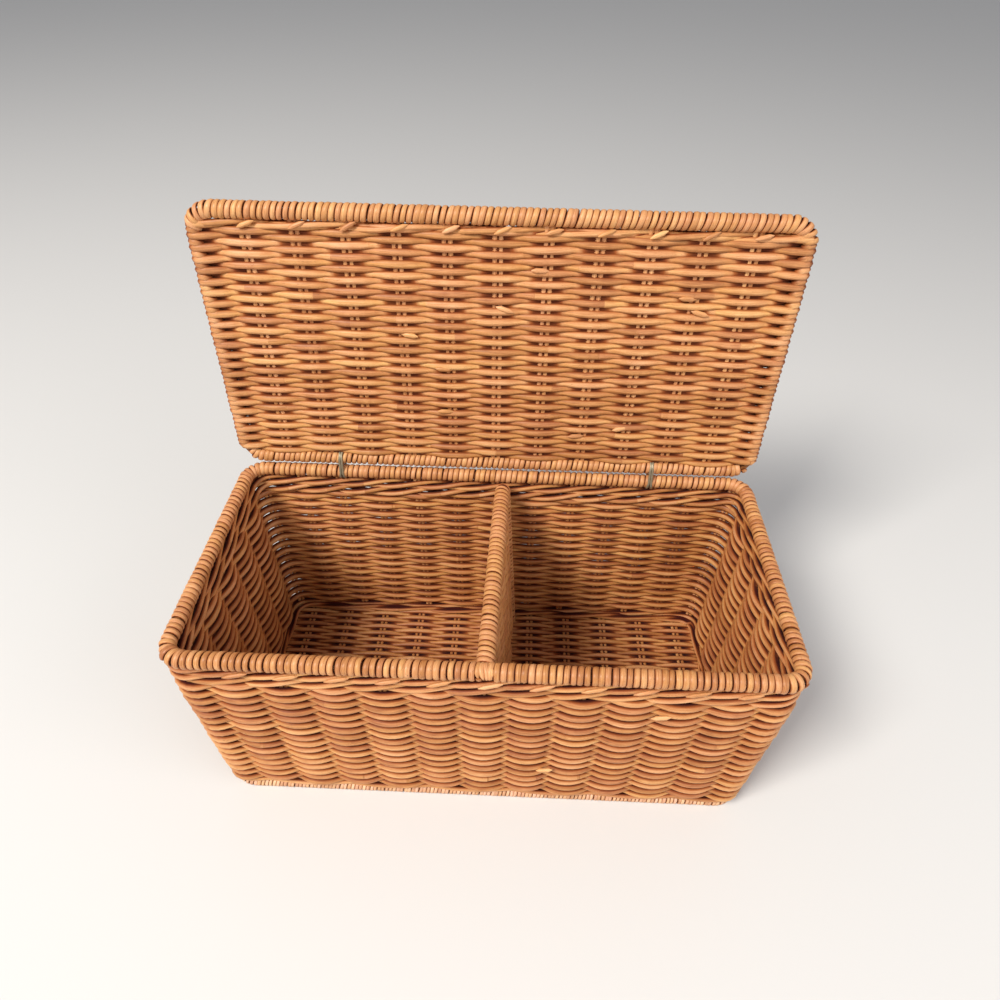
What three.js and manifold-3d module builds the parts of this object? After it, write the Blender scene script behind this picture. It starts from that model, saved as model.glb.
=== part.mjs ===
// Lidded wicker storage basket with one divider, in millimetres, +Z up, front towards -Y.
// The origin is the middle of the floor's underside, on the surface that the basket stands on.
import * as THREE from "three";
import { mergeVertices } from "three/addons/utils/BufferGeometryUtils.js";
import Module from "manifold-3d";

// Basket, measured to the middles of the bent rods
const rimWidth = 400;
const rimDepth = 190;
const rimHeight = 165;
const footWidth = 380;
const footDepth = 178;
const cornerRadius = 14;
const cornerLongLeg = 9.4;
const cornerEndLeg = 0.7;

// Rods inside the lapping
const rimRod = 7;
const footRod = 5;
const lidRod = 6;
const dividerRod = 7;

// Diameters over the lapping
const rimFrontLapped = 12.4;
const rimEndLapped = 11.2;
const rimRearLapped = 10.6;
const footLapped = 7.6;
const dividerLapped = 12.4;
const lidFrontLapped = 12;
const lidRearLapped = 10.6;
const lidSelvedge = 9.4;

// Weave: reeds that pass before and behind pairs of stakes, one column to each pair
const wallReed = 4;
const wallStake = 3;
const wallRows = 32;
const longColumns = 11;
const endColumns = 5;
const lidReed = 3.8;
const lidStake = 2.4;
const lidRows = 46;
const lidSpaces = 12;
const floorThick = 6.7;
const floorThin = 3.8;

// Top band below the rim: three strands laid round one another
const bandDiameter = 9.4;
const bandStrands = 3;
const bandStrandPoints = 3;
const bandGroove = 1.3;
const bandTurnColumns = 3;
const bandStep = 24;

// Divider: a rail with a woven panel below it, whose foot stands to the right of the rail
const dividerOffset = 4.4;
const dividerSkew = 4.8;
const dividerFootShift = 9;
const dividerDrop = 1.5;
const dividerReed = 3.4;
const dividerStake = 2;
const dividerRows = 26;
const dividerColumns = 6;
const lashingReed = 2.4;
const lashingTurns = 2.5;
const lashingPitch = 3.6;
const lashingTail = 3.6;

// Hinge and lid
const hingeSetback = 2.5;
const hingeGap = 0.6;
const lidLean = 93;
const ringWire = 2.6;
const ringSpacing = 248;

// Wear under the foot and the floor, and the air between neighbours
const footWear = 0.55;
const floorWear = 0.5;
const gap = 0.3;

// Faceting
const rodSides = 6;
const lapSides = 10;
const footSides = 10;
const ringSides = 6;
const ringSteps = 8;
const cornerHalf = 45;
const cornerSteps = 2;
const columnSteps = 3;
const coilSteps = 12;

// Levels and places that follow from the sizes above
const wallThick = wallStake + 2 * wallReed;
const lidThick = lidStake + 2 * lidReed;
const footLevel = footLapped / 2 - footWear;
const footTop = footLevel + footLapped / 2;
const floorLevel = floorThick / 2 - floorWear;
const floorTop = floorLevel + floorThick / 2;
const rimLappedMost = Math.max(rimFrontLapped, rimEndLapped, rimRearLapped);
const bandLevel = rimHeight - rimLappedMost / 2 - gap - bandDiameter / 2;
const wallBottom = Math.max(footTop, floorTop) + gap;
const wallTop = bandLevel - bandDiameter / 2 - gap;
const dividerLevel = rimHeight - dividerDrop;
const dividerBend = dividerLapped / 2 + gap;
const rearRodY = rimDepth / 2;
const hingeY = rearRodY + hingeSetback;
const rodSpacing = (rimRearLapped + lidRearLapped) / 2 + hingeGap;
const hingeZ = rimHeight + Math.sqrt(rodSpacing ** 2 - hingeSetback ** 2);
const lidDepth = rimDepth + hingeSetback;
const lashingX = dividerOffset - dividerSkew / 2;
const lashingRadius = rimRod / 2 + gap + lashingReed / 2;
const lashingWidth = lashingTurns * lashingPitch + lashingReed;
const frontReach = Math.max(rimFrontLapped / 2, lashingRadius + lashingReed / 2) + gap;
const lidClosedLevel = rimHeight + frontReach + lidFrontLapped / 2;
const lidClosedTilt = Math.asin((lidClosedLevel - hingeZ) / lidDepth);
const ringRadius = Math.max(rimRearLapped, lidRearLapped) / 2 + gap + ringWire / 2;
const ringReach = ringRadius + ringWire / 2;
const ringSlot = 2 * ringWire;

const wasm = await Module();
wasm.setup();

const honey = 0xd9a45e;
const pale = 0xe3bb7c;
const tan = 0xb98a55;
const wire = 0x8f8258;

const basket = new THREE.Group();
const lid = new THREE.Group();

function add(group, name, geometry, color, roughness = 0.55, metalness = 0) {
  const mesh = new THREE.Mesh(geometry, new THREE.MeshStandardMaterial({ color, roughness, metalness }));
  mesh.name = name;
  group.add(mesh);
}

// A closed body from points and triangles, turned so that its faces point out
function closedBody(points, triangles) {
  const cross = new THREE.Vector3();
  let volume = 0;
  for (const [a, b, c] of triangles) {
    volume += points[a].dot(cross.crossVectors(points[b], points[c]));
  }
  const faces = volume > 0 ? triangles : triangles.map(([a, b, c]) => [a, c, b]);
  const geometry = new THREE.BufferGeometry().setFromPoints(points);
  geometry.setIndex(faces.flat());
  return geometry;
}

// Sweeps: a station has a place, an outward and an up direction, and sections are drawn in those two
function ringOf(station, section) {
  const { at, out, up } = station;
  return section.map((s) => at.clone().addScaledVector(out, s.x).addScaledVector(up, s.y));
}

// A round section, with its corners on the circle
function roundSection(diameter, sides) {
  return Array.from({ length: sides }, (_, i) => {
    const angle = (2 * Math.PI * i) / sides;
    return new THREE.Vector2(Math.cos(angle), Math.sin(angle)).multiplyScalar(diameter / 2);
  });
}

function joinRings(triangles, first, second, count) {
  for (let i = 0; i < count; i += 1) {
    const next = (i + 1) % count;
    triangles.push([first + i, first + next, second + next]);
    triangles.push([first + i, second + next, second + i]);
  }
}

// Solid rod along stations: a hoop comes back to its start, any other rod has two flat ends
function rodAlong(stations, sectionAt, isHoop = false) {
  const sections = stations.map(sectionAt);
  const count = sections[0].length;
  const last = (stations.length - 1) * count;
  const points = stations.flatMap((station, i) => ringOf(station, sections[i]));
  const triangles = [];
  for (let first = 0; first < last; first += count) {
    joinRings(triangles, first, first + count, count);
  }
  if (isHoop) {
    joinRings(triangles, last, 0, count);
  } else {
    for (const [a, b, c] of THREE.ShapeUtils.triangulateShape(sections[0], [])) {
      triangles.push([a, c, b]);
    }
    for (const [a, b, c] of THREE.ShapeUtils.triangulateShape(sections.at(-1), [])) {
      triangles.push([last + a, last + b, last + c]);
    }
  }
  return closedBody(points, triangles);
}

// Lapping along stations: an open-ended sleeve with the rod's bore through it
function lappingAlong(stations, rodDiameter, lappedDiameter, sides = lapSides, wornTo = -Infinity) {
  const bore = roundSection((rodDiameter + 2 * gap) / Math.cos(Math.PI / sides), sides);
  const outside = roundSection(lappedDiameter, sides);
  outside.forEach((s) => s.setY(Math.max(s.y, wornTo)));
  const points = stations.flatMap((station) => [...ringOf(station, outside), ...ringOf(station, bore)]);
  const triangles = [];
  const last = (stations.length - 1) * 2 * sides;
  for (let first = 0; first < last; first += 2 * sides) {
    joinRings(triangles, first, first + 2 * sides, sides);
    joinRings(triangles, first + 3 * sides, first + sides, sides);
  }
  joinRings(triangles, sides, 0, sides);
  joinRings(triangles, last, last + sides, sides);
  return closedBody(points, triangles);
}

// A rounded rectangle in a level plane, which every hoop, lapping run and band follows
function loop(width, depth, level, middleY = 0) {
  return { halfX: width / 2 - cornerRadius, halfY: depth / 2 - cornerRadius, level, middleY };
}

const corners = {
  corner_rear_right: 45,
  corner_rear_left: 135,
  corner_front_left: 225,
  corner_front_right: 315,
};

function cornerStation(path, degrees, quadrant) {
  const angle = THREE.MathUtils.degToRad(degrees);
  const out = new THREE.Vector3(Math.cos(angle), Math.sin(angle), 0);
  const middle = THREE.MathUtils.degToRad(quadrant);
  const x = Math.sign(Math.cos(middle)) * path.halfX;
  const y = Math.sign(Math.sin(middle)) * path.halfY + path.middleY;
  const at = new THREE.Vector3(x, y, path.level).addScaledVector(out, cornerRadius);
  return { at, out, up: new THREE.Vector3(0, 0, 1) };
}

function cornerStations(path, from, to, quadrant) {
  const steps = Math.round((Math.abs(to - from) / cornerHalf) * cornerSteps);
  return Array.from({ length: steps + 1 }, (_, i) =>
    cornerStation(path, from + ((to - from) * i) / steps, quadrant),
  );
}

function hoopStations(path) {
  return Object.values(corners).flatMap((quadrant) =>
    cornerStations(path, quadrant - cornerHalf, quadrant + cornerHalf, quadrant),
  );
}

// One side runs from the middle of a corner to the middle of the next; facing is its outward direction
const facing = { front: 270, right: 0, rear: 90, left: 180 };

function sideStations(path, side, straightStep = Infinity) {
  const middle = facing[side];
  const reach = cornerHalf - THREE.MathUtils.radToDeg(gap / 2 / cornerRadius);
  const first = cornerStations(path, middle - reach, middle, middle - cornerHalf);
  const second = cornerStations(path, middle, middle + reach, middle + cornerHalf);
  const start = first.at(-1);
  const end = second[0];
  const pieces = Math.max(1, Math.round(start.at.distanceTo(end.at) / straightStep));
  const between = Array.from({ length: pieces - 1 }, (_, i) => ({
    at: start.at.clone().lerp(end.at, (i + 1) / pieces),
    out: start.out.clone(),
    up: start.up.clone(),
  }));
  return [...first, ...between, ...second];
}

// A woven sheet that stands on X and faces -Y. At a column, the reeds of every second row lie before its
// stakes and the others behind them, and at a place with no column all reeds cross the middle.
function wovenSheet(places, rows, height, reed, stake) {
  const levels = Array.from({ length: rows }, (_, row) => ((row + 0.5) * height) / rows);
  levels[0] = 0;
  levels[rows - 1] = height;
  const reach = (side, row, { column }) => {
    if (column === undefined) {
      return reed / 2;
    }
    const isBefore = (row + column) % 2 === 1;
    return stake / 2 + (isBefore === side < 0 ? reed : 0);
  };
  const sides = [-1, 1];
  const points = levels.flatMap((level, row) =>
    places.flatMap((place) =>
      sides.map((side) => new THREE.Vector3(place.x, side * reach(side, row, place), level)),
    ),
  );
  const pointAt = (row, i, side) => 2 * (row * places.length + i) + (side < 0 ? 0 : 1);
  const triangles = [];
  const addFace = (a, b, c, d) => triangles.push([a, b, c], [a, c, d]);
  const last = places.length - 1;
  for (let row = 1; row < rows; row += 1) {
    for (let i = 1; i <= last; i += 1) {
      for (const side of sides) {
        const low = pointAt(row - 1, i - 1, side);
        const lowNext = pointAt(row - 1, i, side);
        const highNext = pointAt(row, i, side);
        const high = pointAt(row, i - 1, side);
        const face = side < 0 ? [low, lowNext, highNext, high] : [low, high, highNext, lowNext];
        const rise = reach(side, row, places[i]) + reach(side, row - 1, places[i - 1]);
        const fall = reach(side, row - 1, places[i]) + reach(side, row, places[i - 1]);
        addFace(...(rise < fall ? face : [...face.slice(1), face[0]]));
      }
    }
    const around = [[row - 1, -1], [row, -1], [row, 1], [row - 1, 1]];
    addFace(...around.map(([level, side]) => pointAt(level, 0, side)));
    addFace(...around.map(([level, side]) => pointAt(level, last, side)).reverse());
  }
  const top = rows - 1;
  for (let i = 1; i <= last; i += 1) {
    addFace(pointAt(0, i - 1, -1), pointAt(0, i - 1, 1), pointAt(0, i, 1), pointAt(0, i, -1));
    addFace(pointAt(top, i - 1, -1), pointAt(top, i, -1), pointAt(top, i, 1), pointAt(top, i - 1, 1));
  }
  return closedBody(points, triangles);
}

// The plan of a floor strip along X, thick over its stakes and thin between them
function wovenStrip(length, columns, thick, thin) {
  const strip = new THREE.Shape();
  const pitch = length / columns;
  const start = -length / 2;
  const control = thick - thin / 2;
  strip.moveTo(start, -thin / 2);
  for (let i = 0; i < columns; i += 1) {
    const x = start + i * pitch;
    strip.quadraticCurveTo(x + pitch / 2, -control, x + pitch, -thin / 2);
  }
  strip.lineTo(length / 2, -thin / 2);
  strip.lineTo(length / 2, thin / 2);
  for (let i = columns; i > 0; i -= 1) {
    const x = start + i * pitch;
    strip.lineTo(x, thin / 2);
    strip.quadraticCurveTo(x - pitch / 2, control, x - pitch, thin / 2);
  }
  strip.lineTo(-length / 2, thin / 2);
  return strip;
}

function extrude(shape, depth) {
  return new THREE.ExtrudeGeometry(shape, { depth, bevelEnabled: false, curveSegments: columnSteps });
}

// The plan of the column where a wall's weave goes round a corner, from its leg on one side to its leg on
// the next, thickest over its stakes in the middle
function cornerPlan(path, quadrant) {
  const from = quadrant - cornerHalf;
  const isLongFirst = from === facing.rear || from === facing.front;
  const arc = cornerStations(path, from, quadrant + cornerHalf, quadrant);
  const [firstLeg, lastLeg] = isLongFirst ? [cornerLongLeg, cornerEndLeg] : [cornerEndLeg, cornerLongLeg];
  const legEnd = ({ at, out, up }, distance) => ({
    at: at.clone().addScaledVector(up.clone().cross(out), distance),
    out,
  });
  const stations = [legEnd(arc[0], -firstLeg), ...arc, legEnd(arc.at(-1), lastLeg)];
  const walked = stations.map(() => 0);
  for (let i = 1; i < stations.length; i += 1) {
    walked[i] = walked[i - 1] + stations[i].at.distanceTo(stations[i - 1].at);
  }
  const edge = (side) =>
    stations.map(({ at, out }, i) => {
      const share = walked[i] / walked.at(-1);
      const swell = wallReed / 2 + ((wallThick - wallReed) / 2) * (1 - (2 * share - 1) ** 2);
      return new THREE.Vector2(at.x + side * swell * out.x, at.y + side * swell * out.y);
    });
  return new THREE.Shape([...edge(1), ...edge(-1).reverse()]);
}

// The walls lean in from the rim to the foot, and what stands against them leans with them
function leanIn(geometry) {
  const position = geometry.getAttribute("position");
  for (let i = 0; i < position.count; i += 1) {
    const down = (rimHeight - position.getZ(i)) / (rimHeight - footLevel);
    position.setX(i, position.getX(i) * (1 - down * (1 - footWidth / rimWidth)));
    position.setY(i, position.getY(i) * (1 - down * (1 - footDepth / rimDepth)));
  }
  return geometry;
}

function setAskew(geometry) {
  const position = geometry.getAttribute("position");
  for (let i = 0; i < position.count; i += 1) {
    const down = (rimHeight - position.getZ(i)) / (rimHeight - footLevel);
    const skew = (dividerSkew * position.getY(i)) / rimDepth;
    position.setX(i, position.getX(i) + skew + dividerFootShift * down);
  }
  return geometry;
}

// Solids for cutting
function solidOf(geometry) {
  const bare = geometry.clone();
  bare.deleteAttribute("normal");
  bare.deleteAttribute("uv");
  const merged = mergeVertices(bare, 1e-4);
  return new wasm.Manifold(
    new wasm.Mesh({
      numProp: 3,
      vertProperties: new Float32Array(merged.getAttribute("position").array),
      triVerts: new Uint32Array(merged.getIndex().array),
    }),
  );
}

function geometryOf(solid) {
  const { numProp, vertProperties, triVerts } = solid.getMesh();
  const geometry = new THREE.BufferGeometry();
  const interleaved = new THREE.InterleavedBuffer(new Float32Array(vertProperties), numProp);
  geometry.setAttribute("position", new THREE.InterleavedBufferAttribute(interleaved, 3, 0));
  geometry.setIndex(Array.from(triVerts));
  return geometry;
}

function boxAt(width, depth, height, x, y, z) {
  return new THREE.BoxGeometry(width, depth, height).translate(x, y, z);
}

function roundedPlate(width, depth, radius, thickness) {
  const plate = new THREE.Shape();
  const x = width / 2 - radius;
  const y = depth / 2 - radius;
  plate.absarc(x, y, radius, 0, Math.PI / 2);
  plate.absarc(-x, y, radius, Math.PI / 2, Math.PI);
  plate.absarc(-x, -y, radius, Math.PI, 1.5 * Math.PI);
  plate.absarc(x, -y, radius, 1.5 * Math.PI, 2 * Math.PI);
  return extrude(plate, thickness);
}

// Foot: the hoop, its lapping worn flat underneath, and the woven floor inside it
const footLoop = loop(footWidth, footDepth, footLevel);
add(basket, "foot_hoop", rodAlong(hoopStations(footLoop), () => roundSection(footRod, rodSides), true), tan);
for (const side of Object.keys(facing)) {
  const run = sideStations(footLoop, side);
  const lapping = lappingAlong(run, footRod, footLapped, footSides, -footLevel);
  add(basket, `foot_lapping_${side}`, lapping, honey);
}
const floorWidth = footWidth - footLapped - 2 * gap;
const floorDepth = footDepth - footLapped - 2 * gap;
const floorWeave = extrude(wovenStrip(floorWidth, longColumns, floorThick, floorThin), floorDepth);
floorWeave.rotateX(Math.PI / 2).translate(0, floorDepth / 2, floorLevel);
const floorCorner = cornerRadius - footLapped / 2 - gap;
const floorOutline = roundedPlate(floorWidth, floorDepth, floorCorner, floorThick);
add(basket, "floor", geometryOf(solidOf(floorWeave).intersect(solidOf(floorOutline))), tan, 0.65);

// Walls: a woven sheet on each side, and at each corner the column that goes round it
const wallHeight = wallTop - wallBottom;
const longWall = rimWidth - 2 * (cornerRadius + cornerLongLeg + gap);
const endWall = rimDepth - 2 * (cornerRadius + cornerEndLeg + gap);
const longPitch = longWall / longColumns;
let columnsBefore = 0;
for (const [side, degrees] of Object.entries(facing)) {
  const isLong = side === "front" || side === "rear";
  const [length, columns, distance] = isLong
    ? [longWall, longColumns, rimDepth / 2]
    : [endWall, endColumns, rimWidth / 2];
  const places = Array.from({ length: columns }, (_, i) => ({
    x: -length / 2 + ((i + 0.5) * length) / columns,
    column: columnsBefore + i,
  }));
  columnsBefore += columns + 1;
  const ends = [{ x: -length / 2 }, ...places, { x: length / 2 }];
  const sheet = wovenSheet(ends, wallRows, wallHeight, wallReed, wallStake);
  sheet.translate(0, -distance, wallBottom).rotateZ(THREE.MathUtils.degToRad(degrees - facing.front));
  add(basket, `wall_${side}`, leanIn(sheet), honey, 0.65);
}
for (const [name, quadrant] of Object.entries(corners)) {
  const column = extrude(cornerPlan(loop(rimWidth, rimDepth, 0), quadrant), wallHeight);
  column.translate(0, 0, wallBottom);
  add(basket, name, leanIn(column), honey, 0.65);
}

// Band: three strands twisted together, let in below the rim where the hinge rings pass
function bandSection(turned) {
  const points = bandStrandPoints * bandStrands;
  return Array.from({ length: points }, (_, i) => {
    const angle = (2 * Math.PI * i) / points + turned;
    const radius = bandDiameter / 2 - (i % bandStrandPoints === 0 ? bandGroove : 0);
    return new THREE.Vector2(Math.cos(angle) * radius, Math.sin(angle) * radius);
  });
}

function bandAlong(stations) {
  let walked = 0;
  const turns = stations.map((station, i) => {
    walked += i > 0 ? station.at.distanceTo(stations[i - 1].at) : 0;
    return (2 * Math.PI * walked) / (bandTurnColumns * longPitch);
  });
  return rodAlong(stations, (_, i) => bandSection(turns[i]));
}

const rimLoop = loop(rimWidth, rimDepth, rimHeight);
const bandLoop = loop(rimWidth, rimDepth, bandLevel);
for (const side of Object.keys(facing)) {
  let band = leanIn(bandAlong(sideStations(bandLoop, side, bandStep)));
  if (side === "rear") {
    const middle = rimHeight - ringReach - gap + bandDiameter / 2;
    let solid = solidOf(band);
    for (const x of [-ringSpacing / 2, ringSpacing / 2]) {
      const notch = boxAt(ringSlot, 2 * bandDiameter, bandDiameter, x, rearRodY, middle);
      solid = solid.subtract(solidOf(notch));
    }
    band = geometryOf(solid);
  }
  add(basket, `band_${side}`, band, honey, 0.6);
}

// Rim: the hoop and its lapping, which stops on each side of the divider's lashing
add(basket, "rim_hoop", rodAlong(hoopStations(rimLoop), () => roundSection(rimRod, rodSides), true), tan);
const rimLapped = { rear: rimRearLapped, left: rimEndLapped, right: rimEndLapped };
for (const [side, lapped] of Object.entries(rimLapped)) {
  add(basket, `rim_lapping_${side}`, lappingAlong(sideStations(rimLoop, side), rimRod, lapped), pale);
}
const frontRun = sideStations(rimLoop, "front");
const lashingEdge = lashingWidth / 2 + gap;

function frontStationAt(x) {
  const from = frontRun[cornerSteps];
  return { at: new THREE.Vector3(x, from.at.y, from.at.z), out: from.out.clone(), up: from.up.clone() };
}

const frontLeft = [...frontRun.slice(0, cornerSteps + 1), frontStationAt(lashingX - lashingEdge)];
const frontRight = [frontStationAt(lashingX + lashingEdge), ...frontRun.slice(-cornerSteps - 1)];
add(basket, "rim_lapping_front_left", lappingAlong(frontLeft, rimRod, rimFrontLapped), pale);
add(basket, "rim_lapping_front_right", lappingAlong(frontRight, rimRod, rimFrontLapped), pale);

// Divider: a lapped rod that runs back from the front rim and bends down to the floor at the rear
const wallReach = Math.max(wallThick, bandDiameter, (footLapped * rimDepth) / footDepth) / 2 + gap;
const railFront = -rimDepth / 2 + frontReach;
const postY = rearRodY - Math.max(rimRearLapped / 2 + gap, wallReach) - dividerLapped / 2;
const panelTop = dividerLevel - dividerLapped / 2 - gap;
const panelBottom = floorTop + gap;
const panelRear = postY - dividerLapped / 2 - gap;
const panelFront = -rimDepth / 2 + wallReach;

function dividerStation(y, z, degrees) {
  const angle = THREE.MathUtils.degToRad(degrees);
  const up = new THREE.Vector3(0, Math.sin(angle), Math.cos(angle));
  return { at: new THREE.Vector3(dividerOffset, y, z), out: new THREE.Vector3(1, 0, 0), up };
}

const bendSteps = 2 * cornerSteps;
const bendY = postY - dividerBend;
const bendZ = dividerLevel - dividerBend;
const bend = Array.from({ length: bendSteps + 1 }, (_, i) => {
  const station = dividerStation(bendY, bendZ, (90 * i) / bendSteps);
  station.at.addScaledVector(station.up, dividerBend);
  return station;
});
const dividerRun = [
  dividerStation(railFront, dividerLevel, 0),
  ...bend,
  dividerStation(postY, panelBottom, 90),
];
const dividerFrame = rodAlong(dividerRun, () => roundSection(dividerRod, rodSides));
add(basket, "divider_frame", setAskew(leanIn(dividerFrame)), tan);
const dividerLapping = lappingAlong(dividerRun, dividerRod, dividerLapped);
add(basket, "divider_lapping", setAskew(leanIn(dividerLapping)), pale);

const panelLength = panelRear - panelFront;
const panelHeight = panelTop - panelBottom;
const panelPlaces = Array.from({ length: dividerColumns }, (_, i) => ({
  x: ((i + 0.5) / dividerColumns - 0.5) * panelLength,
  column: i,
}));
const panelEnds = [{ x: -panelLength / 2 }, ...panelPlaces, { x: panelLength / 2 }];
const dividerPanel = wovenSheet(panelEnds, dividerRows, panelHeight, dividerReed, dividerStake);
dividerPanel.rotateZ(Math.PI / 2).translate(dividerOffset, (panelFront + panelRear) / 2, panelBottom);
add(basket, "divider_panel", setAskew(leanIn(dividerPanel)), tan, 0.65);

// Lashing: one reed wound round the rim rod from the inside of the rim to its outside
function lashingStation(turn) {
  const angle = 2 * Math.PI * turn;
  const out = new THREE.Vector3(0, Math.cos(angle), Math.sin(angle));
  const along = new THREE.Vector3(lashingPitch / (2 * Math.PI), 0, 0);
  along.addScaledVector(new THREE.Vector3(0, -Math.sin(angle), Math.cos(angle)), lashingRadius).normalize();
  const x = lashingX + lashingPitch * (turn - lashingTurns / 2);
  const at = new THREE.Vector3(x, -rimDepth / 2, rimHeight).addScaledVector(out, lashingRadius);
  return { at, out, up: along.cross(out) };
}

const coil = Array.from({ length: lashingTurns * coilSteps + 1 }, (_, i) => lashingStation(i / coilSteps));
const lashingEnds = [coil[0], coil.at(-1)].map((station) => ({
  at: station.at.clone().add(new THREE.Vector3(0, 0, -lashingTail)),
  out: station.out.clone(),
  up: new THREE.Vector3(station.up.x, 0, 0).normalize(),
}));
const lashing = [lashingEnds[0], ...coil, lashingEnds[1]];
add(basket, "divider_lashing", rodAlong(lashing, () => roundSection(lashingReed, rodSides)), pale);
let leastGap = Infinity;
coil.forEach((station, i) => {
  for (const other of coil.slice(i + coilSteps / 2)) {
    leastGap = Math.min(leastGap, station.at.distanceTo(other.at) - lashingReed);
  }
});
console.log(`least gap between the turns of the lashing: ${leastGap.toFixed(2)} mm`);

// Hinge: wire rings round the rear rim rod and the lid's rear rod together
const rimCentre = new THREE.Vector3(0, rearRodY, rimHeight);
const hingeCentre = new THREE.Vector3(0, hingeY, hingeZ);
const hingeLean = Math.atan2(hingeZ - rimHeight, hingeSetback);

function ringStations(x) {
  return [hingeCentre, rimCentre].flatMap((centre, half) =>
    Array.from({ length: ringSteps + 1 }, (_, i) => {
      const angle = hingeLean + Math.PI * (half - 0.5 + i / ringSteps);
      const out = new THREE.Vector3(0, Math.cos(angle), Math.sin(angle));
      const at = centre.clone().setX(x).addScaledVector(out, ringRadius);
      return { at, out, up: new THREE.Vector3(1, 0, 0) };
    }),
  );
}

for (const [side, x] of Object.entries({ left: -ringSpacing / 2, right: ringSpacing / 2 })) {
  const ring = rodAlong(ringStations(x), () => roundSection(ringWire, ringSides), true);
  add(basket, `hinge_ring_${side}`, ring, wire, 0.4, 0.8);
}

// Lid, lying flat with its rear rod along X at the origin and its front rod at +Y
const lidLoop = loop(rimWidth, lidDepth, 0, lidDepth / 2);
add(lid, "lid_hoop", rodAlong(hoopStations(lidLoop), () => roundSection(lidRod, rodSides), true), tan);
const lidRuns = {
  lid_lapping_rear: ["front", lidRearLapped],
  lid_lapping_front: ["rear", lidFrontLapped],
  lid_selvedge_left: ["left", lidSelvedge],
  lid_selvedge_right: ["right", lidSelvedge],
};
for (const [name, [side, lapped]] of Object.entries(lidRuns)) {
  add(lid, name, lappingAlong(sideStations(lidLoop, side), lidRod, lapped), pale);
}
const lidPanelWidth = rimWidth - lidSelvedge - 2 * gap;
const lidPanelRear = lidRearLapped / 2 + gap;
const lidPanelDepth = lidDepth - lidFrontLapped / 2 - gap - lidPanelRear;
const lidPlaces = Array.from({ length: lidSpaces + 1 }, (_, i) => ({
  x: THREE.MathUtils.clamp((i / lidSpaces - 0.5) * rimWidth, -lidPanelWidth / 2, lidPanelWidth / 2),
  column: i,
}));
const lidWeave = wovenSheet(lidPlaces, lidRows, lidPanelDepth, lidReed, lidStake).rotateX(-Math.PI / 2);
const lidOutline = roundedPlate(lidPanelWidth, lidPanelDepth, cornerRadius - gap, lidThick);
lidWeave.translate(0, lidPanelRear, 0);
lidOutline.translate(0, lidPanelRear + lidPanelDepth / 2, -lidThick / 2);
let lidPanel = solidOf(lidWeave).intersect(solidOf(lidOutline));
for (const x of [-ringSpacing / 2, ringSpacing / 2]) {
  const slot = boxAt(ringSlot, 2 * (ringReach + ringWire), 2 * lidThick, x, 0, 0);
  lidPanel = lidPanel.subtract(solidOf(slot));
}
add(lid, "lid_panel", geometryOf(lidPanel), honey, 0.65);
lid.position.copy(hingeCentre);
lid.rotation.x = Math.PI - THREE.MathUtils.degToRad(lidLean);
console.log(`lid turns ${(lidLean - THREE.MathUtils.radToDeg(lidClosedTilt)).toFixed(2)} degrees to shut`);

const group = new THREE.Group();
group.add(basket, lid);
group.updateMatrixWorld(true);
export default group;
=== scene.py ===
import math
import random
from functools import cache

import bpy
from bpy.props import FloatProperty, FloatVectorProperty, IntProperty, PointerProperty
from mathutils import Matrix, Vector


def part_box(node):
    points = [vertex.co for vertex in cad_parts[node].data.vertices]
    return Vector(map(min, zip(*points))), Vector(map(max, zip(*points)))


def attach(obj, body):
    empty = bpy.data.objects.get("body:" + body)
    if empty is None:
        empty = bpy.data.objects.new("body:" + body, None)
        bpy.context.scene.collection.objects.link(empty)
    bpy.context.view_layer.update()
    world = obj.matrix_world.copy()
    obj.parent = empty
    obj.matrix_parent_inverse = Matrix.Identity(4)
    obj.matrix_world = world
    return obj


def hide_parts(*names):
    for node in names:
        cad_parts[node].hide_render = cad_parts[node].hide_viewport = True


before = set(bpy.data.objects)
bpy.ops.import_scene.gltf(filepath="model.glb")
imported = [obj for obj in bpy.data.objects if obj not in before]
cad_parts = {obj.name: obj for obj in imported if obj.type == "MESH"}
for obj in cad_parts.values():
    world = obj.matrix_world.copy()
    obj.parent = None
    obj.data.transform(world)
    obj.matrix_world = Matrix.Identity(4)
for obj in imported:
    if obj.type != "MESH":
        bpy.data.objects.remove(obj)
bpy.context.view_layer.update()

bl_info = {
    "name": "Wicker storage basket",
    "version": (1, 0, 0),
    "blender": (4, 5, 0),
    "location": "View3D > Sidebar > Basket",
    "description": "Weaves and laps a lidded wicker basket round its construction model",
    "category": "Object",
}

MM = 0.001

# Sizes that the construction model shares, in metres
CORNER_RADIUS = 14 * MM
RIM_ROD = 7 * MM
FOOT_ROD = 5 * MM
LID_ROD = 6 * MM
LID_LEAN = math.radians(93)
RING_SPACING = 248 * MM
RING_WIRE = 2.6 * MM
DIVIDER_OFFSET = 4.4 * MM
DIVIDER_SKEW = 4.8 * MM
DIVIDER_FOOT_SHIFT = 9 * MM

# Diameters over the lapping
FRONT_LAPPED = 12.4 * MM
SIDE_LAPPED = 11 * MM
LID_FRONT_LAPPED = 12 * MM
LID_REAR_LAPPED = 11 * MM
FOOT_LAPPED = 7.6 * MM
DIVIDER_LAPPED = 12.4 * MM

# How finely strands are made
REED_SIDES = 8
STAKE_SIDES = 7
STAKE_POINTS = 14
CORNER_STEPS = 8

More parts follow.
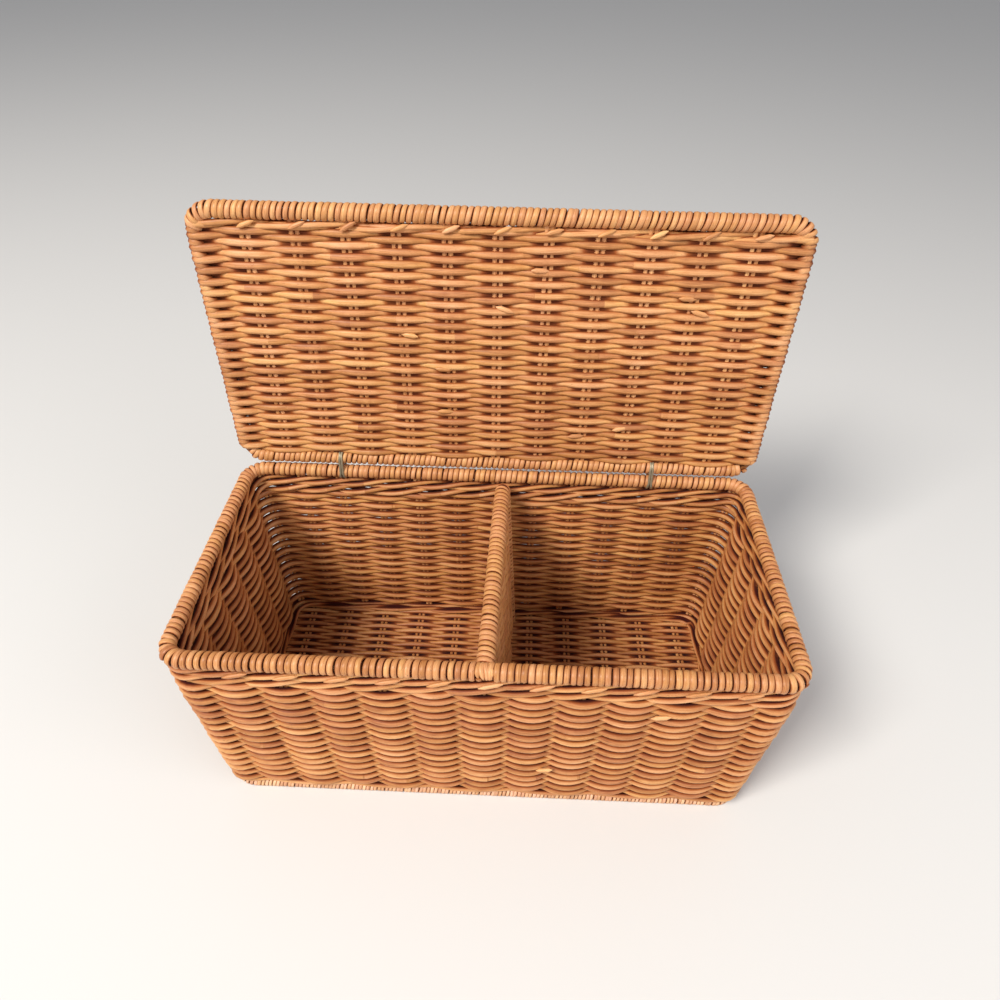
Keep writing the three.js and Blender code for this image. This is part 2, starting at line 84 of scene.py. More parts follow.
# How the weave varies: scales of noise are per metre, and shares are of the size that they change
REED_LENGTH = 0.3
UNEVEN_SCALE, DRIFT_SCALE, OWN_SCALE = 28.0, 14.0, 40.0
WAIST_SCALE, ROUGH_SCALE, SWAY_SCALE = 60.0, 22.0, 30.0
UNEVEN_SHARE, DRIFT_SHARE, OWN_SHARE, LIFT_SHARE = 0.5, 1.4, 0.6, 0.08
THINNEST_REED, REED_SPREAD, WAIST_SHARE = 0.93, 0.16, 0.12
PRESSED_REED, BULGE = 0.84, 0.22
NARROWEST_TURN, TURN_SPREAD, TURN_WALK = 0.84, 0.24, 0.04
STAKE_SWAY = 1.2 * MM
TINY = 1e-6

# Steps between the numbers of strands, which keep their tones and noise apart
ROW_APART = (2.3, 1.7, 3.1)
ROW_NUMBERS, STRAND_NUMBERS, FIRST_STAKE_NUMBER = 7.0, 31.0, 400.0

# How deep the shadow between reeds lies: where it begins, how fast it grows, and that on their edges
COVER_START, COVER_GAIN, EDGE_POWER, EDGE_GAIN = 0.3, 2.4, 1.4, 1.35


def middle(node):
    """The middle of a node's box."""
    low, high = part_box(node)
    return (low + high) / 2


def across(node):
    """The size of a node's box."""
    low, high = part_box(node)
    return high - low


# Places that follow from the frame
RIM_LEVEL = middle("rim_hoop").z
RIM_WIDTH = across("rim_hoop").x - RIM_ROD
RIM_DEPTH = across("rim_hoop").y - RIM_ROD
FOOT_LEVEL = middle("foot_hoop").z
FOOT_WIDTH = across("foot_hoop").x - FOOT_ROD
FOOT_DEPTH = across("foot_hoop").y - FOOT_ROD
BAND_LEVEL = middle("band_front").z
LOWER_BAND = BAND_LEVEL - 6.5 * MM
FOOT_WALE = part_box("wall_front")[0].z + 2.2 * MM
LID_DEPTH = across("lid_hoop").z / math.sin(LID_LEAN) - LID_ROD
HINGE = Vector((0, middle("lid_lapping_rear").y, middle("lid_lapping_rear").z))
DIVIDER_FRONT = middle("divider_lashing").x

# From a lid that stands upright on its rear rod to the lid at rest
LID_TURN = Matrix.Translation(HINGE) @ Matrix.Rotation(math.radians(90) - LID_LEAN, 4, "X")


class Graph:
    """Adds nodes to a node tree, and links or sets their inputs."""

    def __init__(self, tree):
        self.tree = tree

    def feed(self, socket, value):
        if isinstance(value, bpy.types.Node):
            value = value.outputs[0]
        if isinstance(value, bpy.types.NodeSocket):
            self.tree.links.new(value, socket)
        else:
            socket.default_value = value

    def add(self, kind, inputs=None, **settings):
        node = self.tree.nodes.new(kind)
        for name, value in settings.items():
            setattr(node, name, value)
        for key, value in (inputs or {}).items():
            self.feed(node.inputs[key], value)
        return node

    def math(self, operation, *values):
        return self.add("ShaderNodeMath", dict(enumerate(values)), operation=operation).outputs[0]

    def sum(self, first, *others):
        for value in others:
            first = self.math("ADD", first, value)
        return first

    def product(self, first, *others):
        for value in others:
            first = self.math("MULTIPLY", first, value)
        return first

    def minus(self, first, second):
        return self.math("SUBTRACT", first, second)

    def ratio(self, first, second):
        return self.math("DIVIDE", first, second)

    def left(self, share):
        """What a share leaves of 1."""
        return self.minus(1.0, share)

    def at_most(self, value, high):
        return self.math("MINIMUM", value, high)

    def at_least(self, value, low):
        return self.math("MAXIMUM", value, low)

    def clamped(self, value, low=0.0, high=1.0):
        return self.at_most(self.at_least(value, low), high)

    def vector(self, operation, *values):
        return self.add("ShaderNodeVectorMath", dict(enumerate(values)), operation=operation).outputs[0]

    def plus(self, first, *others):
        for vector in others:
            first = self.vector("ADD", first, vector)
        return first

    def scaled(self, vector, factor):
        return self.add("ShaderNodeVectorMath", {0: vector, "Scale": factor}, operation="SCALE").outputs[0]

    def join(self, x=0.0, y=0.0, z=0.0):
        return self.add("ShaderNodeCombineXYZ", {0: x, 1: y, 2: z}).outputs[0]

    def split(self, vector):
        return self.add("ShaderNodeSeparateXYZ", {0: vector}).outputs

    def texture(self, vector, scale, detail, **inputs):
        inputs = {"Vector": vector, "Scale": scale, "Detail": detail, **inputs}
        return self.add("ShaderNodeTexNoise", inputs).outputs["Fac"]

    def noise(self, vector, detail=1.0):
        """Smooth noise between about -0.5 and 0.5."""
        return self.minus(self.texture(vector, 1.0, detail), 0.5)

    def chance(self, number, seed):
        """A fixed random share for each whole number."""
        return self.add("ShaderNodeTexWhiteNoise", {"Vector": self.join(number, seed)}).outputs["Value"]

    def blend(self, factor, first, second, mode="MIX"):
        inputs = {"Factor": factor, 6: first, 7: second}
        return self.add("ShaderNodeMix", data_type="RGBA", blend_type=mode, inputs=inputs).outputs[2]

    def place(self):
        return self.add("GeometryNodeInputPosition").outputs[0]

    def stored(self, name, kind="FLOAT_VECTOR"):
        return self.add("GeometryNodeInputNamedAttribute", {"Name": name}, data_type=kind).outputs[0]

    def store(self, geometry, name, value, kind="FLOAT_VECTOR"):
        inputs = {"Geometry": geometry, "Name": name}
        node = self.add("GeometryNodeStoreNamedAttribute", inputs, data_type=kind, domain="POINT")
        self.feed(node.inputs["Value"], value)
        return node.outputs[0]

    def moved(self, geometry, place):
        return self.add("GeometryNodeSetPosition", {"Geometry": geometry, "Position": place}).outputs[0]


# Geometry trees

LEAN_INPUTS = "Lean top, Lean foot, Lean across, Lean back"


def geometry_tree(name, **labels):
    """A tree's graph and the sockets that bring in its inputs; the labels are given by their kind."""
    tree = bpy.data.node_groups.new(name, "GeometryNodeTree")
    tree.interface.new_socket("Path", in_out="INPUT", socket_type="NodeSocketGeometry")
    for kind, listed in labels.items():
        for label in listed.split(", "):
            tree.interface.new_socket(label, in_out="INPUT", socket_type="NodeSocket" + kind)
    tree.interface.new_socket("Reeds", in_out="OUTPUT", socket_type="NodeSocketGeometry")
    graph = Graph(tree)
    return graph, graph.add("NodeGroupInput").outputs


def unit_line(graph, points):
    line = graph.add("GeometryNodeCurvePrimitiveLine", {"Start": (0, 0, 0), "End": (1, 0, 0)})
    return graph.add("GeometryNodeResampleCurve", {"Curve": line, "Count": points})


def straight_strands(graph, count, points):
    """Straight strands one metre long, one above another along Y, to be moved into place."""
    starts = graph.add("GeometryNodeMeshLine", {"Count": count, "Offset": (0, 1, 0)})
    inputs = {"Points": starts, "Instance": unit_line(graph, points)}
    placed = graph.add("GeometryNodeInstanceOnPoints", inputs)
    return graph.add("GeometryNodeRealizeInstances", {"Geometry": placed}).outputs[0]


def path_frame(graph, path, length):
    """Place, forward, outward and up directions of the path at a length along it."""
    inputs = {"Curves": path, "Length": length}
    sample = graph.add("GeometryNodeSampleCurve", inputs, mode="LENGTH", use_all_curves=True).outputs
    place, forward, outward = sample["Position"], sample["Tangent"], sample["Normal"]
    return place, forward, outward, graph.vector("CROSS_PRODUCT", outward, forward)


def path_length(graph, path):
    return graph.add("GeometryNodeCurveLength", {"Curve": path}).outputs[0]


def open_share(graph, given):
    """A strand that closes on itself stops one step short of where it began."""
    return graph.left(graph.ratio(given["Closed"], given["Points"]))


def beside(graph, at, ahead, out, rise):
    """A place beside the path, by its distances ahead, outward and up."""
    spot, forward, outward, up = at
    offset = graph.plus(graph.scaled(forward, ahead), graph.scaled(outward, out), graph.scaled(up, rise))
    return graph.plus(spot, offset)


def leaned(graph, place, given):
    """Draws a place in towards the middle, the lower it lies."""
    top, foot, share_x, share_y = (given[label] for label in LEAN_INPUTS.split(", "))
    x, y, z = graph.split(place)
    down = graph.ratio(graph.minus(top, z), graph.minus(top, foot))
    x = graph.product(x, graph.left(graph.product(down, share_x)))
    y = graph.product(y, graph.left(graph.product(down, share_y)))
    return graph.join(x, y, z)


def laid(graph, strands, identity, crest, target, closed):
    """Strands moved into place, with what their colour depends on."""
    strands = graph.store(strands, "strand", identity)
    strands = graph.store(strands, "crest", crest)
    strands = graph.moved(strands, target)
    return graph.add("GeometryNodeSetSplineCyclic", {"Geometry": strands, "Cyclic": closed})


def reed_tube(graph, strands, radius, sides, flat=None):
    """Round reeds along strands; flat is the share of their width that is left across their normals."""
    circle = graph.add("GeometryNodeCurvePrimitiveCircle", {"Resolution": sides, "Radius": 1.0})
    place = graph.place()
    profile = graph.store(circle, "side", place)
    if flat is not None:
        profile = graph.moved(profile, graph.vector("MULTIPLY", place, graph.join(flat, 1.0, 1.0)))
    inputs = {"Curve": strands, "Profile Curve": profile, "Scale": radius, "Fill Caps": True}
    tube = graph.add("GeometryNodeCurveToMesh", inputs)
    return graph.add("GeometryNodeSetShadeSmooth", {"Geometry": tube}).outputs[0]


def shaded(graph, tube):
    """Stores how much shade is painted on a point: 1 where a reed turns to what it crosses, less on its
    edges.
    """
    inputs = {0: graph.add("GeometryNodeInputNormal"), 1: graph.stored("crest")}
    facing = graph.add("ShaderNodeVectorMath", inputs, operation="DOT_PRODUCT").outputs["Value"]
    _, _, depth = graph.split(graph.stored("strand"))
    behind = graph.minus(graph.product(facing, depth, -1.0), COVER_START)
    cover = graph.at_least(graph.product(behind, COVER_GAIN), 0.0)
    edge = graph.math("POWER", graph.left(graph.math("ABSOLUTE", facing)), EDGE_POWER)
    shade = graph.sum(cover, graph.product(edge, EDGE_GAIN))
    return graph.store(tube, "shade", graph.at_most(shade, 1.0), "FLOAT")


def finish_tree(graph, *parts):
    """Joins (mesh, material) pairs, realizes what is instanced and ends the tree."""
    joined = graph.add("GeometryNodeJoinGeometry")
    for mesh, material in parts:
        whole = graph.add("GeometryNodeRealizeInstances", {"Geometry": mesh})
        painted = graph.add("GeometryNodeSetMaterial", {"Geometry": whole, "Material": material})
        graph.tree.links.new(painted.outputs[0], joined.inputs[0])
    graph.add("NodeGroupOutput", {0: joined})
    return graph.tree


@cache
def weave_tree():
    """Plain weave: reeds that run along a path and pass before and behind pairs of upright stakes."""
    graph, given = geometry_tree(
        "plain_weave",
        Bool="Closed",
        Int="Rows, Points, Stakes",
        Float="Columns, First stake, Bottom, Height, Stake bottom, Stake top, Reed, Stake reed, Stake gap, "
        "Swell, End turn, Over angle, Under angle, Rear ease, Wobble, Seed, " + LEAN_INPUTS,
        Material="Material, Stake material",
    )
    path = given["Path"]
    length = path_length(graph, path)
    pitch = graph.ratio(length, given["Columns"])
    row_height = graph.ratio(given["Height"], given["Rows"])
    share, row, _ = graph.split(graph.place())
    row = graph.math("ROUND", row)

    # Where a reed goes on past its last stake, it turns round the rod there
    front_at_end = graph.math("COSINE", graph.product(graph.minus(row, given["First stake"]), math.pi))
    turns_over = graph.math("GREATER_THAN", front_at_end, 0.0)
    inputs = {0: turns_over, 2: given["Under angle"], 3: given["Over angle"]}
    arc = graph.product(given["End turn"], graph.add("ShaderNodeMix", inputs).outputs[0])
    whole = graph.sum(graph.product(length, open_share(graph, given)), arc, arc)
    along = graph.minus(graph.product(share, whole), arc)
    inside = graph.clamped(along, 0.0, length)
    turned = graph.ratio(graph.minus(along, inside), graph.at_least(given["End turn"], TINY))
    at = path_frame(graph, path, inside)
    spot, _, outward, _ = at

    column = graph.ratio(inside, pitch)
    phase = graph.product(graph.sum(graph.minus(column, given["First stake"]), row), math.pi)
    to_end = graph.at_most(column, graph.minus(given["Columns"], column))
    near_end = graph.left(graph.at_most(to_end, 1.0))
    turns = graph.math("GREATER_THAN", given["End turn"], 0.0)
    to_turn = graph.product(graph.minus(given["End turn"], given["Swell"]), near_end, turns)
    own_row = graph.scaled(ROW_APART, row)
    unevenness = graph.noise(graph.plus(graph.scaled(spot, UNEVEN_SCALE), own_row))
    uneven = graph.sum(1.0, graph.product(unevenness, UNEVEN_SHARE))
    _, to_rear, _ = graph.split(outward)
    eased = graph.left(graph.product(graph.at_least(to_rear, 0.0), given["Rear ease"]))
    swell = graph.product(graph.sum(given["Swell"], to_turn), uneven, eased)
    out = graph.product(graph.math("COSINE", phase), swell, graph.math("COSINE", turned))
    past = graph.product(graph.math("SINE", turned), given["End turn"])

    # A second turn lies one row higher
    second_turn = graph.clamped(graph.minus(graph.ratio(graph.math("ABSOLUTE", turned), math.pi), 1.0))
    height = graph.sum(given["Bottom"], graph.product(graph.sum(row, 0.5, second_turn), row_height))
    level = graph.join(0.0, given["Seed"], graph.product(height, DRIFT_SCALE))
    drift = graph.noise(graph.plus(graph.scaled(spot, DRIFT_SCALE), level))
    own = graph.noise(graph.plus(graph.scaled(spot, OWN_SCALE), graph.scaled(own_row, 1.6)))
    shift = graph.sum(graph.product(drift, DRIFT_SHARE), graph.product(own, OWN_SHARE))
    shift = graph.product(shift, given["Wobble"])
    target = leaned(graph, beside(graph, at, past, out, graph.sum(height, shift)), given)

    # Each row is spliced from several reeds
    turn = graph.math("FRACT", graph.sum(graph.ratio(along, length), graph.chance(row, 5.0)))
    reeds_in_row = graph.math("CEIL", graph.ratio(length, REED_LENGTH))
    reed_id = graph.math("FLOOR", graph.product(turn, reeds_in_row))
    reed_id = graph.sum(graph.product(row, ROW_NUMBERS), reed_id, given["Seed"])
    identity = graph.join(along, reed_id, graph.ratio(out, given["Swell"]))
    rows = straight_strands(graph, given["Rows"], given["Points"])
    rows = laid(graph, rows, identity, outward, target, given["Closed"])

    walked, reed_number, crest_share = graph.split(graph.stored("strand"))
    waist = graph.join(graph.product(walked, WAIST_SCALE), graph.product(reed_number, 1.9))
    waist = graph.product(graph.noise(waist), WAIST_SHARE)
    own_size = graph.product(graph.chance(reed_number, 2.0), REED_SPREAD)
    thickness = graph.sum(THINNEST_REED, own_size, waist)
    bulge = graph.at_most(graph.product(graph.math("ABSOLUTE", crest_share), 1.5), 1.0)
    thickness = graph.product(thickness, graph.sum(PRESSED_REED, graph.product(bulge, BULGE)))
    radius = graph.product(given["Reed"], 0.5, thickness)
    reeds = shaded(graph, reed_tube(graph, rows, radius, REED_SIDES))

    # Stakes stand in pairs
    pair = graph.math("FLOOR", graph.ratio(row, 2.0))
    side = graph.minus(graph.math("MODULO", row, 2.0), 0.5)
    foot = graph.product(graph.sum(pair, given["First stake"]), pitch)
    foot = graph.sum(foot, graph.product(side, given["Stake gap"]))
    reach = graph.minus(given["Stake top"], given["Stake bottom"])
    rise = graph.sum(given["Stake bottom"], graph.product(share, reach))
    sway = graph.noise(graph.join(graph.product(rise, SWAY_SCALE), row, given["Seed"]))
    target = beside(graph, path_frame(graph, path, foot), graph.product(sway, STAKE_SWAY), 0.0, rise)
    stakes = straight_strands(graph, graph.product(given["Stakes"], 2.0), STAKE_POINTS)
    identity = graph.join(rise, graph.sum(row, FIRST_STAKE_NUMBER), 1.0)
    stakes = graph.moved(graph.store(stakes, "strand", identity), leaned(graph, target, given))
    stakes = reed_tube(graph, stakes, graph.product(given["Stake reed"], 0.5), STAKE_SIDES)
    return finish_tree(graph, (reeds, given["Material"]), (stakes, given["Stake material"]))


@cache
def waling_tree():
    """Strands laid round one another along a path."""
    floats = "Turn, Out, Rise, Reed, Wobble, Seed, " + LEAN_INPUTS
    graph, given = geometry_tree(
        "waling", Bool="Closed", Int="Strands, Points", Float=floats, Material="Material"
    )
    path = given["Path"]
    share, strand, _ = graph.split(graph.place())
    along = graph.product(share, path_length(graph, path), open_share(graph, given))
    at = path_frame(graph, path, along)
    spot, _, outward, _ = at
    turns = graph.sum(graph.ratio(along, given["Turn"]), graph.ratio(strand, given["Strands"]))
    angle = graph.product(turns, 2 * math.pi)
    own_strand = graph.join(given["Seed"], 0.0, graph.product(strand, 5.1))
    rough = graph.noise(graph.plus(graph.scaled(spot, ROUGH_SCALE), own_strand))
    depth = graph.math("COSINE", angle)
    rise = graph.product(graph.math("SINE", angle), given["Rise"])
    rise = graph.sum(rise, graph.product(rough, given["Wobble"]))
    target = beside(graph, at, 0.0, graph.product(depth, given["Out"]), rise)
    joint = graph.math("FLOOR", graph.sum(graph.ratio(angle, 2 * math.pi), 0.5))
    reed_id = graph.sum(graph.product(strand, STRAND_NUMBERS), joint, given["Seed"])
    strands = straight_strands(graph, given["Strands"], given["Points"])
    identity = graph.join(along, reed_id, depth)
    strands = laid(graph, strands, identity, outward, leaned(graph, target, given), given["Closed"])
    reeds = shaded(graph, reed_tube(graph, strands, graph.product(given["Reed"], 0.5), REED_SIDES))
    return finish_tree(graph, (reeds, given["Material"]))


@cache
def lapping_tree():
    """One flat reed wound round a path, turn beside turn, on a section that another object gives."""
    floats = "Pitch, Thickness, Width, Wobble, Slant, Seed"
    graph, given = geometry_tree(
        "lapping", Object="Section", Int="Section points", Float=floats, Material="Material"
    )
    path = given["Path"]
    length = path_length(graph, path)
    count = given["Section points"]
    turns = graph.math("ROUND", graph.ratio(length, given["Pitch"]))
    line = unit_line(graph, graph.sum(graph.product(turns, count), 1.0))
    index = graph.add("GeometryNodeInputIndex").outputs[0]
    turn = graph.ratio(index, count)
    section = graph.add("GeometryNodeObjectInfo", {"Object": given["Section"]}).outputs["Geometry"]
    place = graph.place()

    def section_point(step):
        number = graph.math("MODULO", graph.sum(index, step, count), count)
        inputs = {"Geometry": section, "Value": place, "Index": number}
        settings = {"data_type": "FLOAT_VECTOR", "domain": "POINT"}
        return graph.add("GeometryNodeSampleIndex", inputs, **settings).outputs[0]

    sideways, upward, _ = graph.split(section_point(0.0))
    run = graph.vector("SUBTRACT", section_point(1.0), section_point(-1.0))
    run_side, run_up, _ = graph.split(run)
    jump = graph.noise(graph.join(graph.product(turn, 0.9), given["Seed"]), detail=0.0)
    along = graph.product(graph.ratio(turn, turns), length)
    along = graph.clamped(graph.sum(along, graph.product(jump, given["Wobble"])), 0.0, length)
    spot, forward, outward, up = path_frame(graph, path, along)
    lift = graph.noise(graph.join(turn, graph.sum(given["Seed"], 7.0)))
    offset = graph.plus(graph.scaled(outward, sideways), graph.scaled(up, upward))
    offset = graph.scaled(offset, graph.sum(1.0, graph.product(lift, LIFT_SHARE)))
    slant = graph.product(graph.ratio(upward, 10 * MM), given["Slant"])
    offset = graph.plus(offset, graph.scaled(forward, slant))
    facing = graph.vector("SUBTRACT", graph.scaled(outward, run_up), graph.scaled(up, run_side))
    turn_id = graph.sum(graph.math("FLOOR", turn), given["Seed"])
    line = graph.store(line, "strand", graph.join(graph.product(turn, TURN_WALK), turn_id, 1.0))
    line = graph.store(line, "crest", graph.vector("NORMALIZE", facing))
    line = graph.moved(line, graph.plus(spot, offset))
    inputs = {"Curve": line, "Normal": graph.stored("crest")}
    line = graph.add("GeometryNodeSetCurveNormal", inputs, mode="FREE")
    _, number, _ = graph.split(graph.stored("strand"))
    size = graph.sum(NARROWEST_TURN, graph.product(graph.chance(number, 3.0), TURN_SPREAD))
    radius = graph.product(given["Width"], 0.5, size)
    flat = graph.ratio(given["Thickness"], given["Width"])
    reeds = shaded(graph, reed_tube(graph, line, radius, REED_SIDES, flat))
    return finish_tree(graph, (reeds, given["Material"]))


@cache
def strand_tree():
    """One reed or wire along a path, drawn in at its ends where it tapers."""
    graph, given = geometry_tree(
        "single_strand", Int="Points", Float="Width, Flat, Taper, Seed", Material="Material"
    )
    line = graph.add("GeometryNodeResampleCurve", {"Curve": given["Path"], "Count": given["Points"]})
    walked = graph.add("GeometryNodeSplineParameter").outputs["Length"]
    length = graph.add("GeometryNodeSplineLength").outputs[0]
    nearest = graph.at_most(walked, graph.minus(length, walked))
    taper = graph.clamped(graph.ratio(nearest, graph.at_least(given["Taper"], TINY)), 0.2)
    line = graph.store(line, "strand", graph.join(walked, given["Seed"], 1.0))
    line = graph.store(line, "taper", taper, "FLOAT")
    radius = graph.product(given["Width"], 0.5, graph.stored("taper", "FLOAT"))
    tube = reed_tube(graph, line, radius, REED_SIDES, given["Flat"])
    return finish_tree(graph, (tube, given["Material"]))


# Objects


def new_object(name, data):
    piece = bpy.data.objects.new(name, data)
    bpy.context.scene.collection.objects.link(piece)
    return piece


def path_object(points, closed=False):
    """A thin line through points, which a tree follows."""
    curve = bpy.data.curves.new("path", "CURVE")
    curve.dimensions = "3D"
    spline = curve.splines.new("POLY")
    spline.points.add(len(points) - 1)
    for point, place in zip(spline.points, points):
        point.co = (*place, 1.0)
    spline.use_cyclic_u = closed
    return new_object("path", curve)


def grown(name, tree_maker, path, values, turn=None):
    """Runs a tree on a path, and gives the result as one plain mesh object."""
    tree = tree_maker()
    modifier = path.modifiers.new("grow", "NODES")
    modifier.node_group = tree
    for item in tree.interface.items_tree:
        if item.item_type == "SOCKET" and item.in_out == "INPUT" and item.name in values:
            value = values[item.name]
            is_material = item.socket_type == "NodeSocketMaterial"
            modifier[item.identifier] = material_named(value) if is_material else value
    path.update_tag()
    bpy.context.view_layer.update()
    seen = path.evaluated_get(bpy.context.evaluated_depsgraph_get())
    mesh = bpy.data.meshes.new_from_object(seen)
    mesh.name = name
    if turn is not None:
        mesh.transform(turn)
    bpy.data.objects.remove(path)
    return new_object(name, mesh)


def joined(name, pieces):
    """Makes one mesh object of several."""
    with bpy.context.temp_override(active_object=pieces[0], selected_editable_objects=pieces):
        bpy.ops.object.join()
    pieces[0].name = name
    pieces[0].data.name = name
    return pieces[0]


def dress(piece, body, slot, *nodes):
    """A finished piece rides on its body and stands for its nodes, which it hides; the slot is not used."""
    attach(piece, body)
    if nodes:
        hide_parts(*nodes)


# Places in a loop's points: where each side begins, and the middle of the rear right corner
SIDE_STARTS = {"right": 5, "rear": 14, "left": 23}
REAR_CORNER = SIDE_STARTS["rear"]


def loop_points(width, depth, level):
    """A rounded rectangle, counterclockwise from the middle of its front."""
    x = width / 2 - CORNER_RADIUS
    y = depth / 2 - CORNER_RADIUS
    points = [Vector((0, -depth / 2, level))]
    for quarter, centre in enumerate(((x, -y), (x, y), (-x, y), (-x, -y))):
        for step in range(CORNER_STEPS + 1):
            angle = math.radians(-90 + 90 * quarter + 90 * step / CORNER_STEPS)
            spot = Vector((math.cos(angle), math.sin(angle), 0)) * CORNER_RADIUS
            points.append(Vector((*centre, level)) + spot)
    return points


def side_run(points, side):
    """The part of a loop that belongs to one side, from corner middle to corner middle."""
    if side == "front":
        return points[-5:] + points[:6]
    start = SIDE_STARTS[side]
    return points[start:start + 10]


def loop_path(width, depth, level):
    """A closed path that starts in the middle of the rear right corner."""
    points = loop_points(width, depth, level)
    return path_object(points[REAR_CORNER:] + points[:REAR_CORNER], True)


def level_path(half, level=0):
    """A straight path across the basket."""
    return path_object([(-half, 0, level), (half, 0, level)])


def path_run(points):
    """The length of a run of points."""
    return sum((after - before).length for before, after in zip(points, points[1:]))


def stake_pitch():
    """The distance from one pair of wall stakes to the next."""
    loop = loop_points(RIM_WIDTH, RIM_DEPTH, 0.0)
    return path_run([*loop, loop[0]]) / bpy.context.scene.basket_weave.wall_columns


def round_section(width, floor=-1.0, count=14):
    """Points of a round section for lapping, with the lowest ones cut off at the floor."""
    angles = [2 * math.pi * step / count for step in range(count)]
    return [(math.cos(angle) * width / 2, max(math.sin(angle) * width / 2, floor), 0) for angle in angles]


LEAN_IN = {
    "Lean top": RIM_LEVEL, "Lean foot": FOOT_LEVEL,
    "Lean across": 1 - FOOT_WIDTH / RIM_WIDTH, "Lean back": 1 - FOOT_DEPTH / RIM_DEPTH,
}


def share_down(vertex):
    """0 at the rim, 1 at the foot."""
    return (RIM_LEVEL - vertex.co.z) / (RIM_LEVEL - FOOT_LEVEL)


def lean_in(piece):
    """Draws a finished piece in with the walls."""
    for vertex in piece.data.vertices:
        down = share_down(vertex)
        vertex.co.x *= 1 - down * LEAN_IN["Lean across"]
        vertex.co.y *= 1 - down * LEAN_IN["Lean back"]


def set_askew(piece):
    """Moves the divider's rear and its foot to the right."""
    for vertex in piece.data.vertices:
        vertex.co.x += DIVIDER_SKEW * vertex.co.y / RIM_DEPTH + DIVIDER_FOOT_SHIFT * share_down(vertex)


def round_corners(piece, width, depth):
    """Draws the lid's reeds in where its hoop turns its corners."""
    straight = width / 2 - CORNER_RADIUS
    for vertex in piece.data.vertices:
        beyond = abs(vertex.co.x) - straight
        into = max(CORNER_RADIUS - vertex.co.z, vertex.co.z - depth + CORNER_RADIUS)
        if beyond > 0 and into > 0:
            reach = math.sqrt(max(1 - (into / CORNER_RADIUS) ** 2, 0.05))
            vertex.co.x = math.copysign(straight + beyond * reach, vertex.co.x)


# Materials

TONES = ("Light", "Body", "Dark")
LOOKS = ("Variation", "Streaks", "Specks", "Depth shade")
ROSE = (0.98, 0.88, 1.2, 1)
YELLOW = (1.0, 0.93, 0.6, 1)
SPECK = (0.09, 0.035, 0.01, 1)
SPECK_FROM = 0.68
# Tones of the painted shade: brown first, then black where it is deepest
SHADE_BROWN = (0.48, 0.25, 0.1, 1)
SHADE_BLACK = (0.16, 0.025, 0.005, 1)
TARNISH = (0.22, 0.18, 0.11, 1)
GLOSS = 0.14

# How each reed finish departs from reed_material's values
REEDS = {
    "outer_weave": {},
    "lid_weave": {"depth_shade": 0.85},
    # The floor's reed is tinted a little darker and greyer: painted shade inside the basket
    "floor_weave": {"tint": (0.9, 0.86, 0.84)},
    "divider_weave": {"variation": 0.35, "depth_shade": 0.5},
    "stakes": {"depth_shade": 0.0, "tint": (1.0, 0.94, 0.88)},
    # The floor's stakes are tinted darker than the others: painted shade in the gaps of the floor
    "floor_stakes": {"depth_shade": 0.0, "tint": (0.72, 0.62, 0.55)},
    "lapping": {"variation": 0.35, "specks": 0.55},
    # The front and right rim: heavier specks and streaks of the reed's mottling, and a darker tint that is
    # painted shade
    "worn_lapping": {"streaks": 2.2, "specks": 0.9, "tint": (0.88, 0.82, 0.76)},
    "foot_cane": {"variation": 0.5, "depth_shade": 0.8, "tint": (1.1, 1.32, 1.9)},
    # The rods show only between the turns of lapping, and their dark tint is painted shade in those gaps
    "bare_rod": {"depth_shade": 0.0, "tint": (0.45, 0.35, 0.28)},
}


